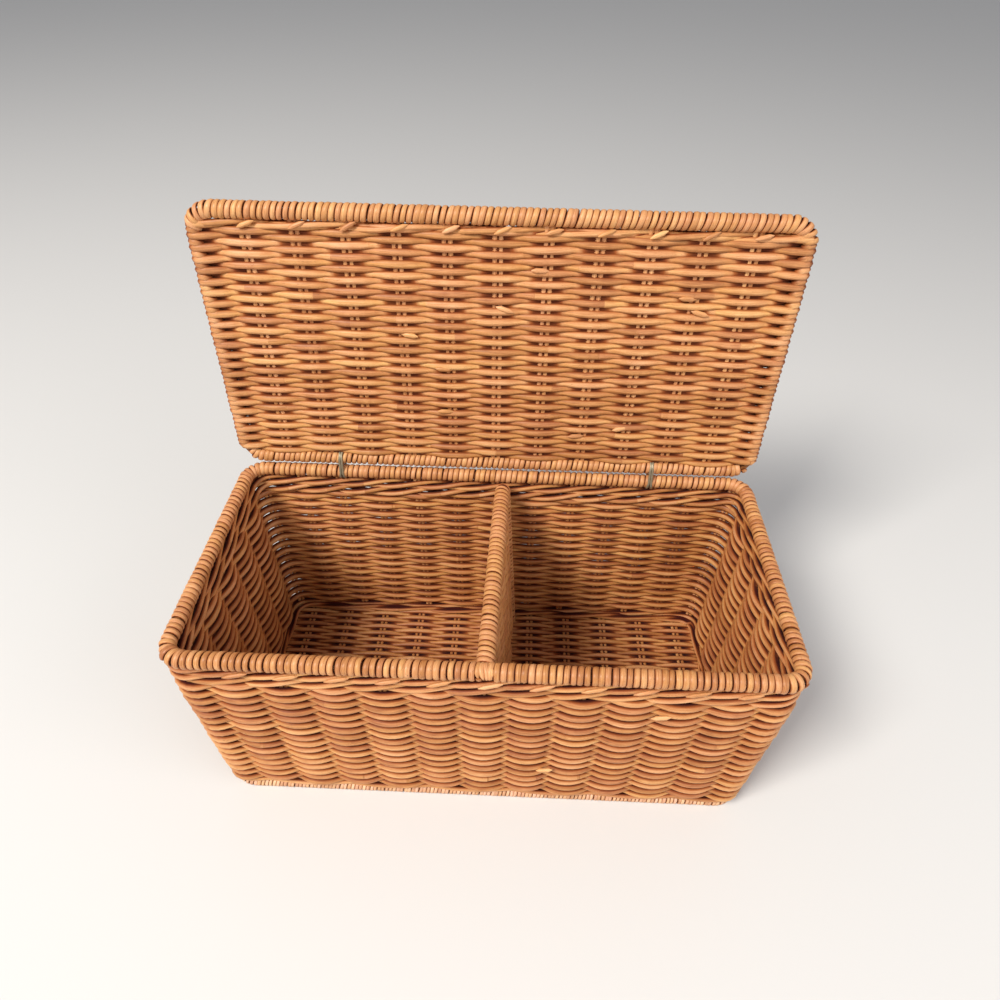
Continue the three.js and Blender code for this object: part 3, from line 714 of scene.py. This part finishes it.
@cache
def reed_group():
    """Colour, roughness, height and gloss of peeled reed, from the strand that each point lies on, with
    painted shade in its colour.
    """
    tree = bpy.data.node_groups.new("peeled_reed", "ShaderNodeTree")
    sockets = {
        "INPUT": {**dict.fromkeys(TONES, "Color"), **dict.fromkeys(LOOKS, "Float")},
        "OUTPUT": {"Color": "Color", **dict.fromkeys(("Roughness", "Height", "Gloss"), "Float")},
    }
    for way, listed in sockets.items():
        for label, kind in listed.items():
            tree.interface.new_socket(label, in_out=way, socket_type="NodeSocket" + kind)
    graph = Graph(tree)
    given = graph.add("NodeGroupInput").outputs

    def read(name, output="Vector"):
        return graph.add("ShaderNodeAttribute", attribute_name=name).outputs[output]

    def halves(value):
        """How far a share has come on its way to a half, and then from a half to 1."""
        double = graph.product(value, 2.0)
        return graph.at_most(double, 1.0), graph.at_least(graph.minus(double, 1.0), 0.0)

    walked, number, depth = graph.split(read("strand"))
    side_x, side_y, _ = graph.split(read("side"))
    reed = graph.math("ROUND", number)
    around = graph.join(graph.product(side_x, 1.6), graph.product(side_y, 1.6), graph.product(number, 3.3))
    lengthwise = graph.plus(around, graph.join(0.0, 0.0, graph.product(walked, 26.0)))
    grain = graph.texture(lengthwise, 2.6, 4.0, Roughness=0.65)
    blotch = graph.texture(graph.join(graph.product(walked, 90.0), number, 0.0), 1.0, 2.0)
    speck = graph.texture(graph.vector("MULTIPLY", lengthwise, graph.join(3.0, 3.0, 14.0)), 1.5, 3.0)
    mixed = graph.sum(
        graph.product(graph.minus(graph.chance(reed, 1.0), 0.5), given["Variation"]),
        graph.product(graph.minus(grain, 0.5), given["Streaks"]),
        graph.product(graph.minus(blotch, 0.5), given["Variation"], 0.9),
        0.5,
    )
    low, high = halves(graph.clamped(mixed))
    colour = graph.blend(low, given["Dark"], given["Body"])
    colour = graph.blend(high, colour, given["Light"])

    # Some reeds are rosier, and the crossings are yellower
    rosy = graph.product(graph.chance(reed, 9.0), 0.6)
    colour = graph.blend(rosy, colour, ROSE, "MULTIPLY")
    crossing = graph.left(graph.at_most(graph.math("ABSOLUTE", depth), 1.0))
    colour = graph.blend(graph.product(crossing, 0.5), colour, YELLOW, "MULTIPLY")
    spots = graph.product(graph.math("GREATER_THAN", speck, SPECK_FROM), given["Specks"])
    colour = graph.blend(spots, colour, SPECK)

    # Painted shade: hollows and the edges of reeds go brown and then black, and lose their gloss
    shade = graph.product(read("shade", "Fac"), given["Depth shade"])
    brown, black = halves(shade)
    colour = graph.blend(brown, colour, SHADE_BROWN, "MULTIPLY")
    colour = graph.blend(black, colour, SHADE_BLACK, "MULTIPLY")
    roughness = graph.sum(0.34, graph.product(grain, 0.3), graph.product(shade, 0.6))
    height = graph.sum(graph.product(grain, 0.7), graph.product(speck, 0.3))
    gloss = graph.product(graph.left(shade), GLOSS)
    graph.add("NodeGroupOutput", {0: colour, 1: graph.at_most(roughness, 1.0), 2: height, 3: gloss})
    return tree


def blank_material(name):
    """An empty material, and the graph that fills it."""
    material = bpy.data.materials.new(name)
    material.use_nodes = True
    material.node_tree.nodes.clear()
    return material, Graph(material.node_tree)


def surface(graph, bump, **inputs):
    """Ends a material with a shader over a bump of (strength, distance, height)."""
    bump = graph.add("ShaderNodeBump", dict(zip(("Strength", "Distance", "Height"), bump)))
    inputs = {label.replace("_", " "): value for label, value in inputs.items()}
    shader = graph.add("ShaderNodeBsdfPrincipled", {**inputs, "Normal": bump})
    graph.add("ShaderNodeOutputMaterial", {"Surface": shader})


def reed_material(name, variation=0.6, streaks=1.7, specks=0.5, depth_shade=1.0, tint=(1, 1, 1)):
    """Peeled and oiled reed in the basket's three tones."""
    colours = bpy.context.scene.basket_colours
    material, graph = blank_material(name)
    group = graph.add("ShaderNodeGroup", node_tree=reed_group())
    for label in TONES:
        tone = getattr(colours, label.lower())
        group.inputs[label].default_value = (*(a * b for a, b in zip(tone, tint)), 1)
    for label, value in zip(LOOKS, (variation, streaks, specks, depth_shade)):
        group.inputs[label].default_value = value
    made = group.outputs
    surface(
        graph, (0.35, 0.0004, made["Height"]), Base_Color=made["Color"], Roughness=made["Roughness"],
        Specular_IOR_Level=0.4, Coat_Weight=made["Gloss"], Coat_Roughness=0.3,
    )
    return material


def wire_material():
    """Dull, slightly greenish brass wire."""
    material, graph = blank_material("ring_wire")
    tarnish = graph.texture(graph.add("ShaderNodeTexCoord").outputs["Object"], 420.0, 4.0)
    clean = (*bpy.context.scene.basket_colours.wire, 1)
    surface(
        graph, (0.3, 0.0002, tarnish), Base_Color=graph.blend(tarnish, clean, TARNISH),
        Roughness=graph.sum(0.25, graph.product(tarnish, 0.35)), Metallic=0.45,
    )
    return material


@cache
def material_named(name):
    """Each finish of the basket, made once."""
    return wire_material() if name == "ring_wire" else reed_material(name, **REEDS[name])


def repaint(node, name):
    """A node of the frame that stays in view gets its finish."""
    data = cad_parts[node].data
    data.materials.clear()
    data.materials.append(material_named(name))


# Settings


def toned(name, note, colour):
    return FloatVectorProperty(name=name, description=note, subtype="COLOR", size=3, default=colour)


def counted(name, note, number):
    return IntProperty(name=name, description=note, default=number)


def sized(name, note, size):
    return FloatProperty(name=name, description=note, default=size * MM, unit="LENGTH")


class BasketColours(bpy.types.PropertyGroup):
    """Tones of the reed and the wire."""

    light: toned("Light", "Palest reed", (0.87, 0.52, 0.22))
    body: toned("Body", "Most of the reed", (0.68, 0.33, 0.115))
    dark: toned("Dark", "Darkest reed", (0.42, 0.165, 0.05))
    wire: toned("Wire", "Hinge wire", (0.52, 0.46, 0.32))


class BasketWeave(bpy.types.PropertyGroup):
    """Counts and sizes of the woven sheets."""

    wall_rows: counted("Wall rows", "Weaving rows between the walings", 32)
    wall_columns: counted("Wall columns", "Stake pairs round the basket", 36)
    lid_rows: counted("Lid rows", "Weaving rows from hinge to front edge", 46)
    lid_columns: counted("Lid spaces", "Spaces between the lid's stake pairs", 12)
    floor_rows: counted("Floor rows", "Weaving rows from front to rear", 44)
    floor_columns: counted("Floor columns", "Stake pairs across the floor", 11)
    divider_rows: counted("Divider rows", "Weaving rows below the rail", 32)
    divider_columns: counted("Divider columns", "Stake pairs along the divider", 6)
    wall_reed: sized("Wall reed", "Diameter of the wall's weaving reed", 5.5)
    lid_reed: sized("Lid reed", "Diameter of the lid's weaving reed", 5.5)
    stake_reed: sized("Stake", "Diameter of a stake", 3.1)
    lid_stake: sized("Lid stake", "Diameter of a stake in the lid", 4.2)
    wall_swell: sized("Wall swell", "How far a reed stands out at a stake", 3.8)
    lid_swell: sized("Lid swell", "How far a lid reed stands out at a stake", 1.45)
    seed: FloatProperty(name="Seed", description="Changes the hand of the weaver", default=3.0)


class BasketLapping(bpy.types.PropertyGroup):
    """Sizes of the reed that is wound round the rods."""

    rim_pitch: sized("Rim pitch", "Turn to turn on the rim", 4.3)
    lid_pitch: sized("Lid pitch", "Turn to turn on the lid", 4.2)
    foot_pitch: sized("Foot pitch", "Turn to turn on the foot", 2.9)
    divider_pitch: sized("Divider pitch", "Turn to turn on the divider", 4.2)
    strap: sized("Strap", "Thickness of the winding reed", 2.4)


# Pieces, in the order in which they are made

STAGE_HALF = 6.0
PAPER = (0.72, 0.72, 0.715, 1)
SKY = (0.96, 0.965, 1.0, 1)
SKY_STRENGTH = 0.36
AIM = Vector((0, 0, 0.12))

# Place, width, power and colour of each lamp
LAMPS = {
    "key": ((-1.36, -1.36, 2.38), 0.95, 96.0, (1.0, 0.95, 0.88)),
    "fill": ((1.3, -0.8, 1.0), 1.2, 11.0, (1.0, 0.96, 0.93)),
}

# The photograph's camera, fitted to points of the basket
SENSOR, LENS = 36, 26.23
CAMERA_PLACE = (18.18 * MM, -361.13 * MM, 541.26 * MM)
YAW, PITCH, ROLL = math.radians(-1.77), math.radians(41.4), math.radians(0.85)


class BASKET_OT_stage(bpy.types.Operator):
    """Lay a plain floor, soft studio light and the camera"""

    bl_idname = "basket.stage"
    bl_label = "Stage"

    def execute(self, context):
        scene = context.scene
        scene.view_settings.view_transform = "Standard"
        plane = bpy.data.meshes.new("stage_floor")
        corners = [(x * STAGE_HALF, y * STAGE_HALF, 0) for x, y in ((-1, -1), (1, -1), (1, 1), (-1, 1))]
        plane.from_pydata(corners, [], [(0, 1, 2, 3)])
        ground = new_object("stage_floor", plane)
        paper = bpy.data.materials.new("stage_paper")
        paper.use_nodes = True
        shader = paper.node_tree.nodes["Principled BSDF"]
        shader.inputs["Base Color"].default_value = PAPER
        shader.inputs["Roughness"].default_value = 0.9
        plane.materials.append(paper)

        scene.world = bpy.data.worlds.new("studio")
        scene.world.use_nodes = True
        background = scene.world.node_tree.nodes["Background"]
        background.inputs["Color"].default_value = SKY
        background.inputs["Strength"].default_value = SKY_STRENGTH
        for name, (place, width, power, colour) in LAMPS.items():
            light = bpy.data.lights.new(name, "AREA")
            light.size = width
            light.energy = power
            light.color = colour
            lamp = new_object(name, light)
            lamp.location = place
            lamp.rotation_mode = "QUATERNION"
            lamp.rotation_quaternion = (AIM - Vector(place)).to_track_quat("-Z", "Y")

        camera = new_object("camera", bpy.data.cameras.new("camera"))
        camera.data.sensor_width = SENSOR
        camera.data.lens = LENS
        camera.data.clip_start = 0.01
        camera.location = CAMERA_PLACE
        turn = Matrix.Rotation(-YAW, 4, "Z") @ Matrix.Rotation(math.pi / 2 - PITCH, 4, "X")
        camera.rotation_mode = "QUATERNION"
        camera.rotation_quaternion = (turn @ Matrix.Rotation(ROLL, 4, "Z")).to_quaternion()
        scene.camera = camera
        return {"FINISHED"}


def sheet(rows, columns, bottom, top):
    """What the flat woven sheets share."""
    return {
        "Rows": rows, "Columns": float(columns), "Stakes": columns, "First stake": 0.5,
        "Bottom": bottom, "Height": top - bottom, "Stake bottom": bottom, "Stake top": top,
    }


class BASKET_OT_walls(bpy.types.Operator):
    """Weave the four walls round paired stakes, corners included"""

    bl_idname = "basket.walls"
    bl_label = "Walls"

    def execute(self, context):
        weave = context.scene.basket_weave
        to_front = path_run(loop_points(RIM_WIDTH, RIM_DEPTH, 0.0)[:REAR_CORNER + 1])
        values = {
            **sheet(weave.wall_rows, weave.wall_columns, FOOT_LEVEL, RIM_LEVEL),
            "Closed": True, "Points": 324, "Rear ease": 0.5, "First stake": -to_front / stake_pitch() % 1.0,
            "Bottom": FOOT_WALE + 3 * MM, "Height": LOWER_BAND - FOOT_WALE - 5.5 * MM,
            "Reed": weave.wall_reed, "Stake reed": weave.stake_reed, "Stake gap": 3.3 * MM,
            "Swell": weave.wall_swell, "Wobble": 1.3 * MM, "Seed": weave.seed, **LEAN_IN,
            "Material": "outer_weave", "Stake material": "stakes",
        }
        piece = grown("walls_weave", weave_tree, loop_path(RIM_WIDTH, RIM_DEPTH, 0.0), values)
        corners = [f"corner_{end}_{side}" for end in ("front", "rear") for side in ("left", "right")]
        sides = [f"wall_{side}" for side in ("front", "rear", "left", "right")]
        dress(piece, "basket", "woven_reed", *sides, *corners)
        return {"FINISHED"}


class BASKET_OT_floor(bpy.types.Operator):
    """Weave the floor between the foot's rods"""

    bl_idname = "basket.floor"
    bl_label = "Floor"

    def execute(self, context):
        weave = context.scene.basket_weave
        low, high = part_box("floor")
        lift = Matrix.Translation((0, 0, middle("floor").z + 1.0 * MM))
        values = {
            **sheet(weave.floor_rows, weave.floor_columns, low.y, high.y), "Points": 100, "Reed": 4.4 * MM,
            "Stake reed": 3.2 * MM, "Stake gap": 3.6 * MM, "Swell": 1.3 * MM, "Wobble": 1.3 * MM,
            "Seed": weave.seed + 11, "Material": "floor_weave", "Stake material": "floor_stakes",
        }
        flat = lift @ Matrix.Rotation(math.radians(-90), 4, "X")
        piece = grown("floor_weave", weave_tree, level_path(high.x), values, flat)
        dress(piece, "basket", "woven_reed", "floor")
        return {"FINISHED"}


class BASKET_OT_bands(bpy.types.Operator):
    """Lay the waling strands that close the weave below the rim and above the foot"""

    bl_idname = "basket.bands"
    bl_label = "Bands"

    def execute(self, context):
        seed = context.scene.basket_weave.seed
        pitch = stake_pitch()

        def wale(name, path, strands, turn, out, rise, reed, own_seed, lean):
            values = {
                "Strands": strands, "Points": 400, "Closed": True, "Turn": turn * pitch, "Out": out * MM,
                "Rise": rise * MM, "Reed": reed * MM, "Wobble": 1.6 * MM, "Seed": seed + own_seed,
                "Material": "outer_weave", **lean,
            }
            return grown(name, waling_tree, path, values)

        inner = loop_path(FOOT_WIDTH - 9 * MM, FOOT_DEPTH - 9 * MM, FOOT_LEVEL + 4.6 * MM)
        floor_edge = wale(
            "floor_wale", inner, strands=2, turn=3.4, out=1.8, rise=1.4, reed=3.8, own_seed=151, lean={}
        )
        dress(floor_edge, "basket", "woven_reed")

        # Level, strands, stake pairs to a turn, and the reach outward, the rise and the reed in millimetres
        layers = {
            "top_band_upper": (BAND_LEVEL + 0.5 * MM, 3, 3, 2.6, 3.0, 4.4),
            "top_band_lower": (LOWER_BAND, 3, 3, 3.2, 3.4, 4.6),
            "foot_wale": (FOOT_WALE, 2, 4, 2.2, 1.5, 4.4),
        }
        laid_bands = []
        for number, (name, (level, *sizes)) in enumerate(layers.items()):
            path = loop_path(RIM_WIDTH, RIM_DEPTH, level)
            laid_bands.append(wale(name, path, *sizes, 31 + 40 * number, LEAN_IN))
        dress(laid_bands.pop(), "basket", "woven_reed")
        sides = [f"band_{side}" for side in ("front", "rear", "left", "right")]
        dress(joined("top_band", laid_bands), "basket", "band_reed", *sides)
        return {"FINISHED"}


def lapped(name, points, width, pitch, seed, turn=None, strap=None, slant=0.5, floor=-1.0, finish="lapping"):
    """Winds reed round a run of rod, up to a width; slant is in millimetres."""
    strap = strap or bpy.context.scene.basket_lapping.strap
    section = round_section(width - strap, floor)
    shape = path_object(section, True)
    values = {
        "Section": shape, "Section points": len(section), "Pitch": pitch, "Thickness": strap,
        "Width": pitch * 1.05, "Wobble": pitch * 0.5, "Slant": slant * MM, "Seed": seed, "Material": finish,
    }
    piece = grown(name, lapping_tree, path_object(points), values, turn)
    bpy.data.objects.remove(shape)
    return piece


class BASKET_OT_foot(bpy.types.Operator):
    """Wind the foot's fine lapping"""

    bl_idname = "basket.foot"
    bl_label = "Foot"

    def execute(self, context):
        loop = loop_points(FOOT_WIDTH, FOOT_DEPTH, FOOT_LEVEL)
        strap = 1.5 * MM
        for number, side in enumerate(("front", "right", "rear", "left")):
            node = f"foot_lapping_{side}"
            piece = lapped(
                node + "_cane", side_run(loop, side), FOOT_LAPPED, context.scene.basket_lapping.foot_pitch,
                900.0 + 200 * number, strap=strap, floor=strap / 2 - FOOT_LEVEL + 0.25 * MM,
                finish="foot_cane",
            )
            dress(piece, "basket", "lapping_reed", node)
        repaint("foot_hoop", "bare_rod")
        return {"FINISHED"}


class BASKET_OT_rim(bpy.types.Operator):
    """Wind the rim's lapping, thick at the front and thin at the rear"""

    bl_idname = "basket.rim"
    bl_label = "Rim"

    def execute(self, context):
        loop = loop_points(RIM_WIDTH, RIM_DEPTH, RIM_LEVEL)
        front = side_run(loop, "front")
        edge = across("divider_lashing").x / 2 - 2.2 * MM
        left = [*front[:5], Vector((DIVIDER_FRONT - edge, front[5].y, RIM_LEVEL))]
        right = [Vector((DIVIDER_FRONT + edge, front[5].y, RIM_LEVEL)), *front[6:]]
        runs = {"front_left": left, "front_right": right}
        runs.update({side: side_run(loop, side) for side in ("right", "rear", "left")})
        for number, (side, points) in enumerate(runs.items()):
            in_front = "front" in side
            # The front and right rim are more mottled, and tinted darker with painted shade
            mottled_and_shaded = in_front or side == "right"
            piece = lapped(
                f"rim_lapping_{side}_reed", points, FRONT_LAPPED if in_front else SIDE_LAPPED,
                context.scene.basket_lapping.rim_pitch, 40.0 + 100 * number, slant=-1.6 if in_front else 0.5,
                finish="worn_lapping" if mottled_and_shaded else "lapping",
            )
            dress(piece, "basket", "lapping_reed", f"rim_lapping_{side}")
        repaint("rim_hoop", "bare_rod")
        return {"FINISHED"}


class BASKET_OT_lid_panel(bpy.types.Operator):
    """Weave the lid between its two long rods, with its reeds turned round the end rods"""

    bl_idname = "basket.lid_panel"
    bl_label = "Lid panel"

    def execute(self, context):
        weave = context.scene.basket_weave
        panel = across("lid_panel").z / math.sin(LID_LEAN)
        bottom = across("lid_lapping_rear").z / 2 - 2 * MM
        values = {
            "Rows": weave.lid_rows, "Columns": float(weave.lid_columns), "Points": 190, "First stake": 1.0,
            "Stakes": weave.lid_columns - 1, "Bottom": bottom, "Height": panel,
            "Stake top": bottom + panel + 5 * MM, "Reed": weave.lid_reed, "Stake reed": weave.lid_stake,
            "Stake gap": 4.2 * MM, "Swell": weave.lid_swell, "End turn": 2.9 * MM,
            "Over angle": math.radians(440), "Under angle": math.radians(35), "Wobble": 1.7 * MM,
            "Seed": weave.seed + 23, "Material": "lid_weave", "Stake material": "stakes",
        }
        piece = grown("lid_weave", weave_tree, level_path(RIM_WIDTH / 2), values)
        round_corners(piece, RIM_WIDTH, LID_DEPTH)
        piece.data.transform(LID_TURN)
        dress(piece, "lid", "woven_reed", "lid_panel", "lid_selvedge_left", "lid_selvedge_right")
        return {"FINISHED"}


class BASKET_OT_lid_border(bpy.types.Operator):
    """Wind the lapping of the lid's front and rear rods"""

    bl_idname = "basket.lid_border"
    bl_label = "Lid border"

    def execute(self, context):
        loop = [Vector((p.x, 0.0, p.y + LID_DEPTH / 2)) for p in loop_points(RIM_WIDTH, LID_DEPTH, 0.0)]
        runs = {
            "rear": (side_run(loop, "front"), LID_REAR_LAPPED, 0.5),
            "front": (loop[11:27], LID_FRONT_LAPPED, -1.2),
        }
        for number, (side, (points, width, slant)) in enumerate(runs.items()):
            node = f"lid_lapping_{side}"
            pitch = context.scene.basket_lapping.lid_pitch
            piece = lapped(
                node + "_reed", points, width, pitch, 2000.0 + 100 * number, turn=LID_TURN, slant=slant
            )
            dress(piece, "lid", "lapping_reed", node)
        path = level_path(RIM_WIDTH / 2 - 4 * MM, LID_DEPTH - 8.6 * MM)
        values = {
            "Strands": 2, "Points": 160, "Turn": 128 * MM, "Out": 2.6 * MM, "Rise": 1.6 * MM,
            "Reed": 4.6 * MM, "Wobble": 2.6 * MM, "Seed": 77.0, "Material": "lid_weave",
        }
        border = grown("lid_border_strands", waling_tree, path, values, LID_TURN)
        dress(border, "lid", "woven_reed")
        repaint("lid_hoop", "bare_rod")
        return {"FINISHED"}


# Where the lashing's four strands start and end round the rim, in degrees
LASHING = ((-70, 205), (-60, 222), (-65, 236), (-70, 212))
LASHING_STEPS = 24
LASHING_RADIUS = 4.8 * MM


def lashing_strand(number, start, end):
    """One strand of the reed that ties the divider's rod to the rim."""
    width = across("divider_lashing").x / len(LASHING)
    points = []
    for step in range(LASHING_STEPS + 1):
        angle = math.radians(start + (end - start) * step / LASHING_STEPS)
        spread = (1.15 - 0.35 * step / LASHING_STEPS) * (number - 1.5)
        drift = spread * width + 0.7 * MM * math.sin(2 * angle + number)
        spot = Vector((DIVIDER_FRONT + drift, -RIM_DEPTH / 2, RIM_LEVEL))
        points.append(spot + Vector((0, math.cos(angle), math.sin(angle))) * LASHING_RADIUS)
    values = {
        "Points": 40, "Width": width * 0.9, "Flat": 1.35, "Taper": 6 * MM, "Seed": 3200.0 + 10 * number,
        "Material": "lapping",
    }
    return grown("lashing", strand_tree, path_object(points), values)


class BASKET_OT_divider(bpy.types.Operator):
    """Wind the divider's rail and panel, and tie its rod over the front rim"""

    bl_idname = "basket.divider"
    bl_label = "Divider"

    def execute(self, context):
        weave = context.scene.basket_weave
        front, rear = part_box("divider_lapping")
        level = rear.z - DIVIDER_LAPPED / 2
        post = rear.y - DIVIDER_LAPPED / 2
        low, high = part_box("divider_panel")
        bend = DIVIDER_LAPPED / 2 + 0.3 * MM
        rail = [Vector((DIVIDER_OFFSET, front.y, level))]
        for step in range(CORNER_STEPS + 1):
            angle = math.radians(90 * step / CORNER_STEPS)
            spot = Vector((0, math.sin(angle), math.cos(angle))) * bend
            rail.append(Vector((DIVIDER_OFFSET, post - bend, level - bend)) + spot)
        rail.append(Vector((DIVIDER_OFFSET, post, low.z)))
        pitch = context.scene.basket_lapping.divider_pitch
        lapping = lapped("divider_rail_reed", rail, DIVIDER_LAPPED, pitch, 3100.0, slant=-0.6)
        values = {
            **sheet(weave.divider_rows, weave.divider_columns, low.z, high.z), "Stake top": level,
            "Points": 60, "Reed": 4.7 * MM, "Stake reed": 2.6 * MM, "Stake gap": 3.0 * MM, "Swell": 2.8 * MM,
            "Wobble": 1.2 * MM, "Seed": weave.seed + 50, "Material": "divider_weave",
            "Stake material": "stakes",
        }
        path = path_object([(DIVIDER_OFFSET, low.y, 0), (DIVIDER_OFFSET, high.y, 0)])
        panel = grown("divider_weave", weave_tree, path, values)
        made = ((lapping, "lapping_reed", "divider_lapping"), (panel, "woven_reed", "divider_panel"))
        for piece, slot, node in made:
            lean_in(piece)
            set_askew(piece)
            dress(piece, "basket", slot, node)
        repaint("divider_frame", "bare_rod")
        strands = [lashing_strand(number, *angles) for number, angles in enumerate(LASHING)]
        dress(joined("divider_lashing_reed", strands), "basket", "lapping_reed", "divider_lashing")
        return {"FINISHED"}


def cut_ends(name, spots, finish, seed):
    """Short reeds that end in the open, each from a place along a direction, in one piece."""
    made = []
    for number, (place, run, width) in enumerate(spots):
        values = {"Points": 5, "Width": width, "Flat": 0.8, "Seed": seed + number, "Material": finish}
        made.append(grown("end", strand_tree, path_object([place - run, place, place + run]), values))
    return joined(name, made)


class BASKET_OT_ends(bpy.types.Operator):
    """Leave cut reed ends where weavers and stakes stop"""

    bl_idname = "basket.ends"
    bl_label = "Cut ends"

    def execute(self, context):
        weave = context.scene.basket_weave
        dice = random.Random(int(weave.seed) + 8)

        # The lid: one end beside each pair of stakes, and a few in the weave
        pitch = RIM_WIDTH / weave.lid_columns
        spots = []
        for column in range(1, weave.lid_columns):
            across_lid = (column - weave.lid_columns / 2) * pitch
            rise = math.radians(dice.uniform(10, 30))
            run = Vector((math.cos(rise), 0.12, math.sin(rise))) * 6 * MM
            spots.append((Vector((across_lid + 3 * MM, -4.6 * MM, LID_DEPTH - 7.6 * MM)), run, 3.3 * MM))
        for _ in range(9):
            across_lid = (dice.randrange(1, weave.lid_columns) - weave.lid_columns / 2) * pitch
            place = Vector((across_lid, -3.6 * MM, dice.uniform(0.15, 0.85) * LID_DEPTH))
            way = dice.choice((-1, 1))
            run = Vector((way, -0.12, dice.uniform(-0.3, 0.3))) * 6 * MM
            spots.append((place + Vector((way * 5 * MM, 0, 0)), run, 3.8 * MM))
        lid = cut_ends("lid_ends", spots, "lid_weave", 4000.0)
        lid.data.transform(LID_TURN)
        dress(lid, "lid", "woven_reed")

        # The long walls: one end beside each pair of stakes at the band, and a few in the weave
        spots = []
        for column in range(-5, 6):
            for side in (-1, 1):
                out = side * (RIM_DEPTH / 2 + 5.2 * MM)
                place = Vector((column * stake_pitch() - side * 6 * MM, out, RIM_LEVEL - 8.2 * MM))
                rise = math.radians(dice.uniform(6, 16))
                run = Vector((-side * math.cos(rise), -side * 0.12, math.sin(rise))) * 8 * MM
                spots.append((place, run, 3.2 * MM))
        for _ in range(6):
            side = dice.choice((-1, -1, 1))
            face = dice.choice((-1, 1))
            place = Vector((dice.uniform(-0.4, 0.4) * RIM_WIDTH, side * RIM_DEPTH / 2 - face * 6.2 * MM, 0))
            place.z = dice.uniform(0.25, 0.8) * RIM_LEVEL
            way = dice.choice((-1, 1))
            run = Vector((way, -face * 0.1, dice.uniform(-0.35, 0.35))) * 6 * MM
            spots.append((place, run, 3.6 * MM))
        stubs = cut_ends("wall_ends", spots, "outer_weave", 4200.0)
        lean_in(stubs)
        dress(stubs, "basket", "woven_reed")
        return {"FINISHED"}


RING_STEPS = 12


class BASKET_OT_hinge(bpy.types.Operator):
    """Bend the two wire rings that hold the lid's rear rod to the rim"""

    bl_idname = "basket.hinge"
    bl_label = "Hinge rings"

    def execute(self, context):
        rim_rod = Vector((0, RIM_DEPTH / 2, RIM_LEVEL))
        lean = math.atan2(HINGE.z - rim_rod.z, HINGE.y - rim_rod.y)
        radius = (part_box("hinge_ring_left")[1].z - HINGE.z) - RING_WIRE / 2
        for side, x in (("left", -RING_SPACING / 2), ("right", RING_SPACING / 2)):
            wires = []
            for twin in (-1, 1):
                points = []
                for half, centre in enumerate((HINGE, rim_rod)):
                    for step in range(RING_STEPS + 1):
                        angle = lean + math.pi * (half - 0.5 + step / RING_STEPS)
                        spot = Vector((0, math.cos(angle), math.sin(angle))) * radius
                        aside = twin * 1.15 * MM * (1 + 0.45 * math.sin(angle * 2))
                        points.append(centre + spot + Vector((x + aside, 0, 0)))
                values = {
                    "Points": 60, "Width": 1.8 * MM, "Flat": 1.0, "Seed": 3300.0 + twin,
                    "Material": "ring_wire",
                }
                wires.append(grown("wire", strand_tree, path_object(points, True), values))
            ring = joined(f"hinge_ring_{side}_wire", wires)
            dress(ring, "basket", "ring_wire", f"hinge_ring_{side}")
        return {"FINISHED"}


OPERATORS = (
    BASKET_OT_stage, BASKET_OT_walls, BASKET_OT_floor, BASKET_OT_bands, BASKET_OT_foot, BASKET_OT_rim,
    BASKET_OT_lid_panel, BASKET_OT_lid_border, BASKET_OT_divider, BASKET_OT_ends, BASKET_OT_hinge,
)


class BASKET_PT_panel(bpy.types.Panel):
    """The basket's pieces"""

    bl_label = "Wicker basket"
    bl_space_type = "VIEW_3D"
    bl_region_type = "UI"
    bl_category = "Basket"

    def draw(self, context):
        for step in OPERATORS:
            self.layout.operator(step.bl_idname)


SETTINGS = {"basket_colours": BasketColours, "basket_weave": BasketWeave, "basket_lapping": BasketLapping}


def register():
    for kind in (*SETTINGS.values(), *OPERATORS, BASKET_PT_panel):
        bpy.utils.register_class(kind)
    for name, kind in SETTINGS.items():
        setattr(bpy.types.Scene, name, PointerProperty(type=kind))


def unregister():
    for name in SETTINGS:
        delattr(bpy.types.Scene, name)
    for kind in (BASKET_PT_panel, *reversed(OPERATORS), *SETTINGS.values()):
        bpy.utils.unregister_class(kind)


def main():
    register()
    for step in OPERATORS:
        group, name = step.bl_idname.split(".")
        getattr(getattr(bpy.ops, group), name)()


if __name__ == "__main__":
    main()
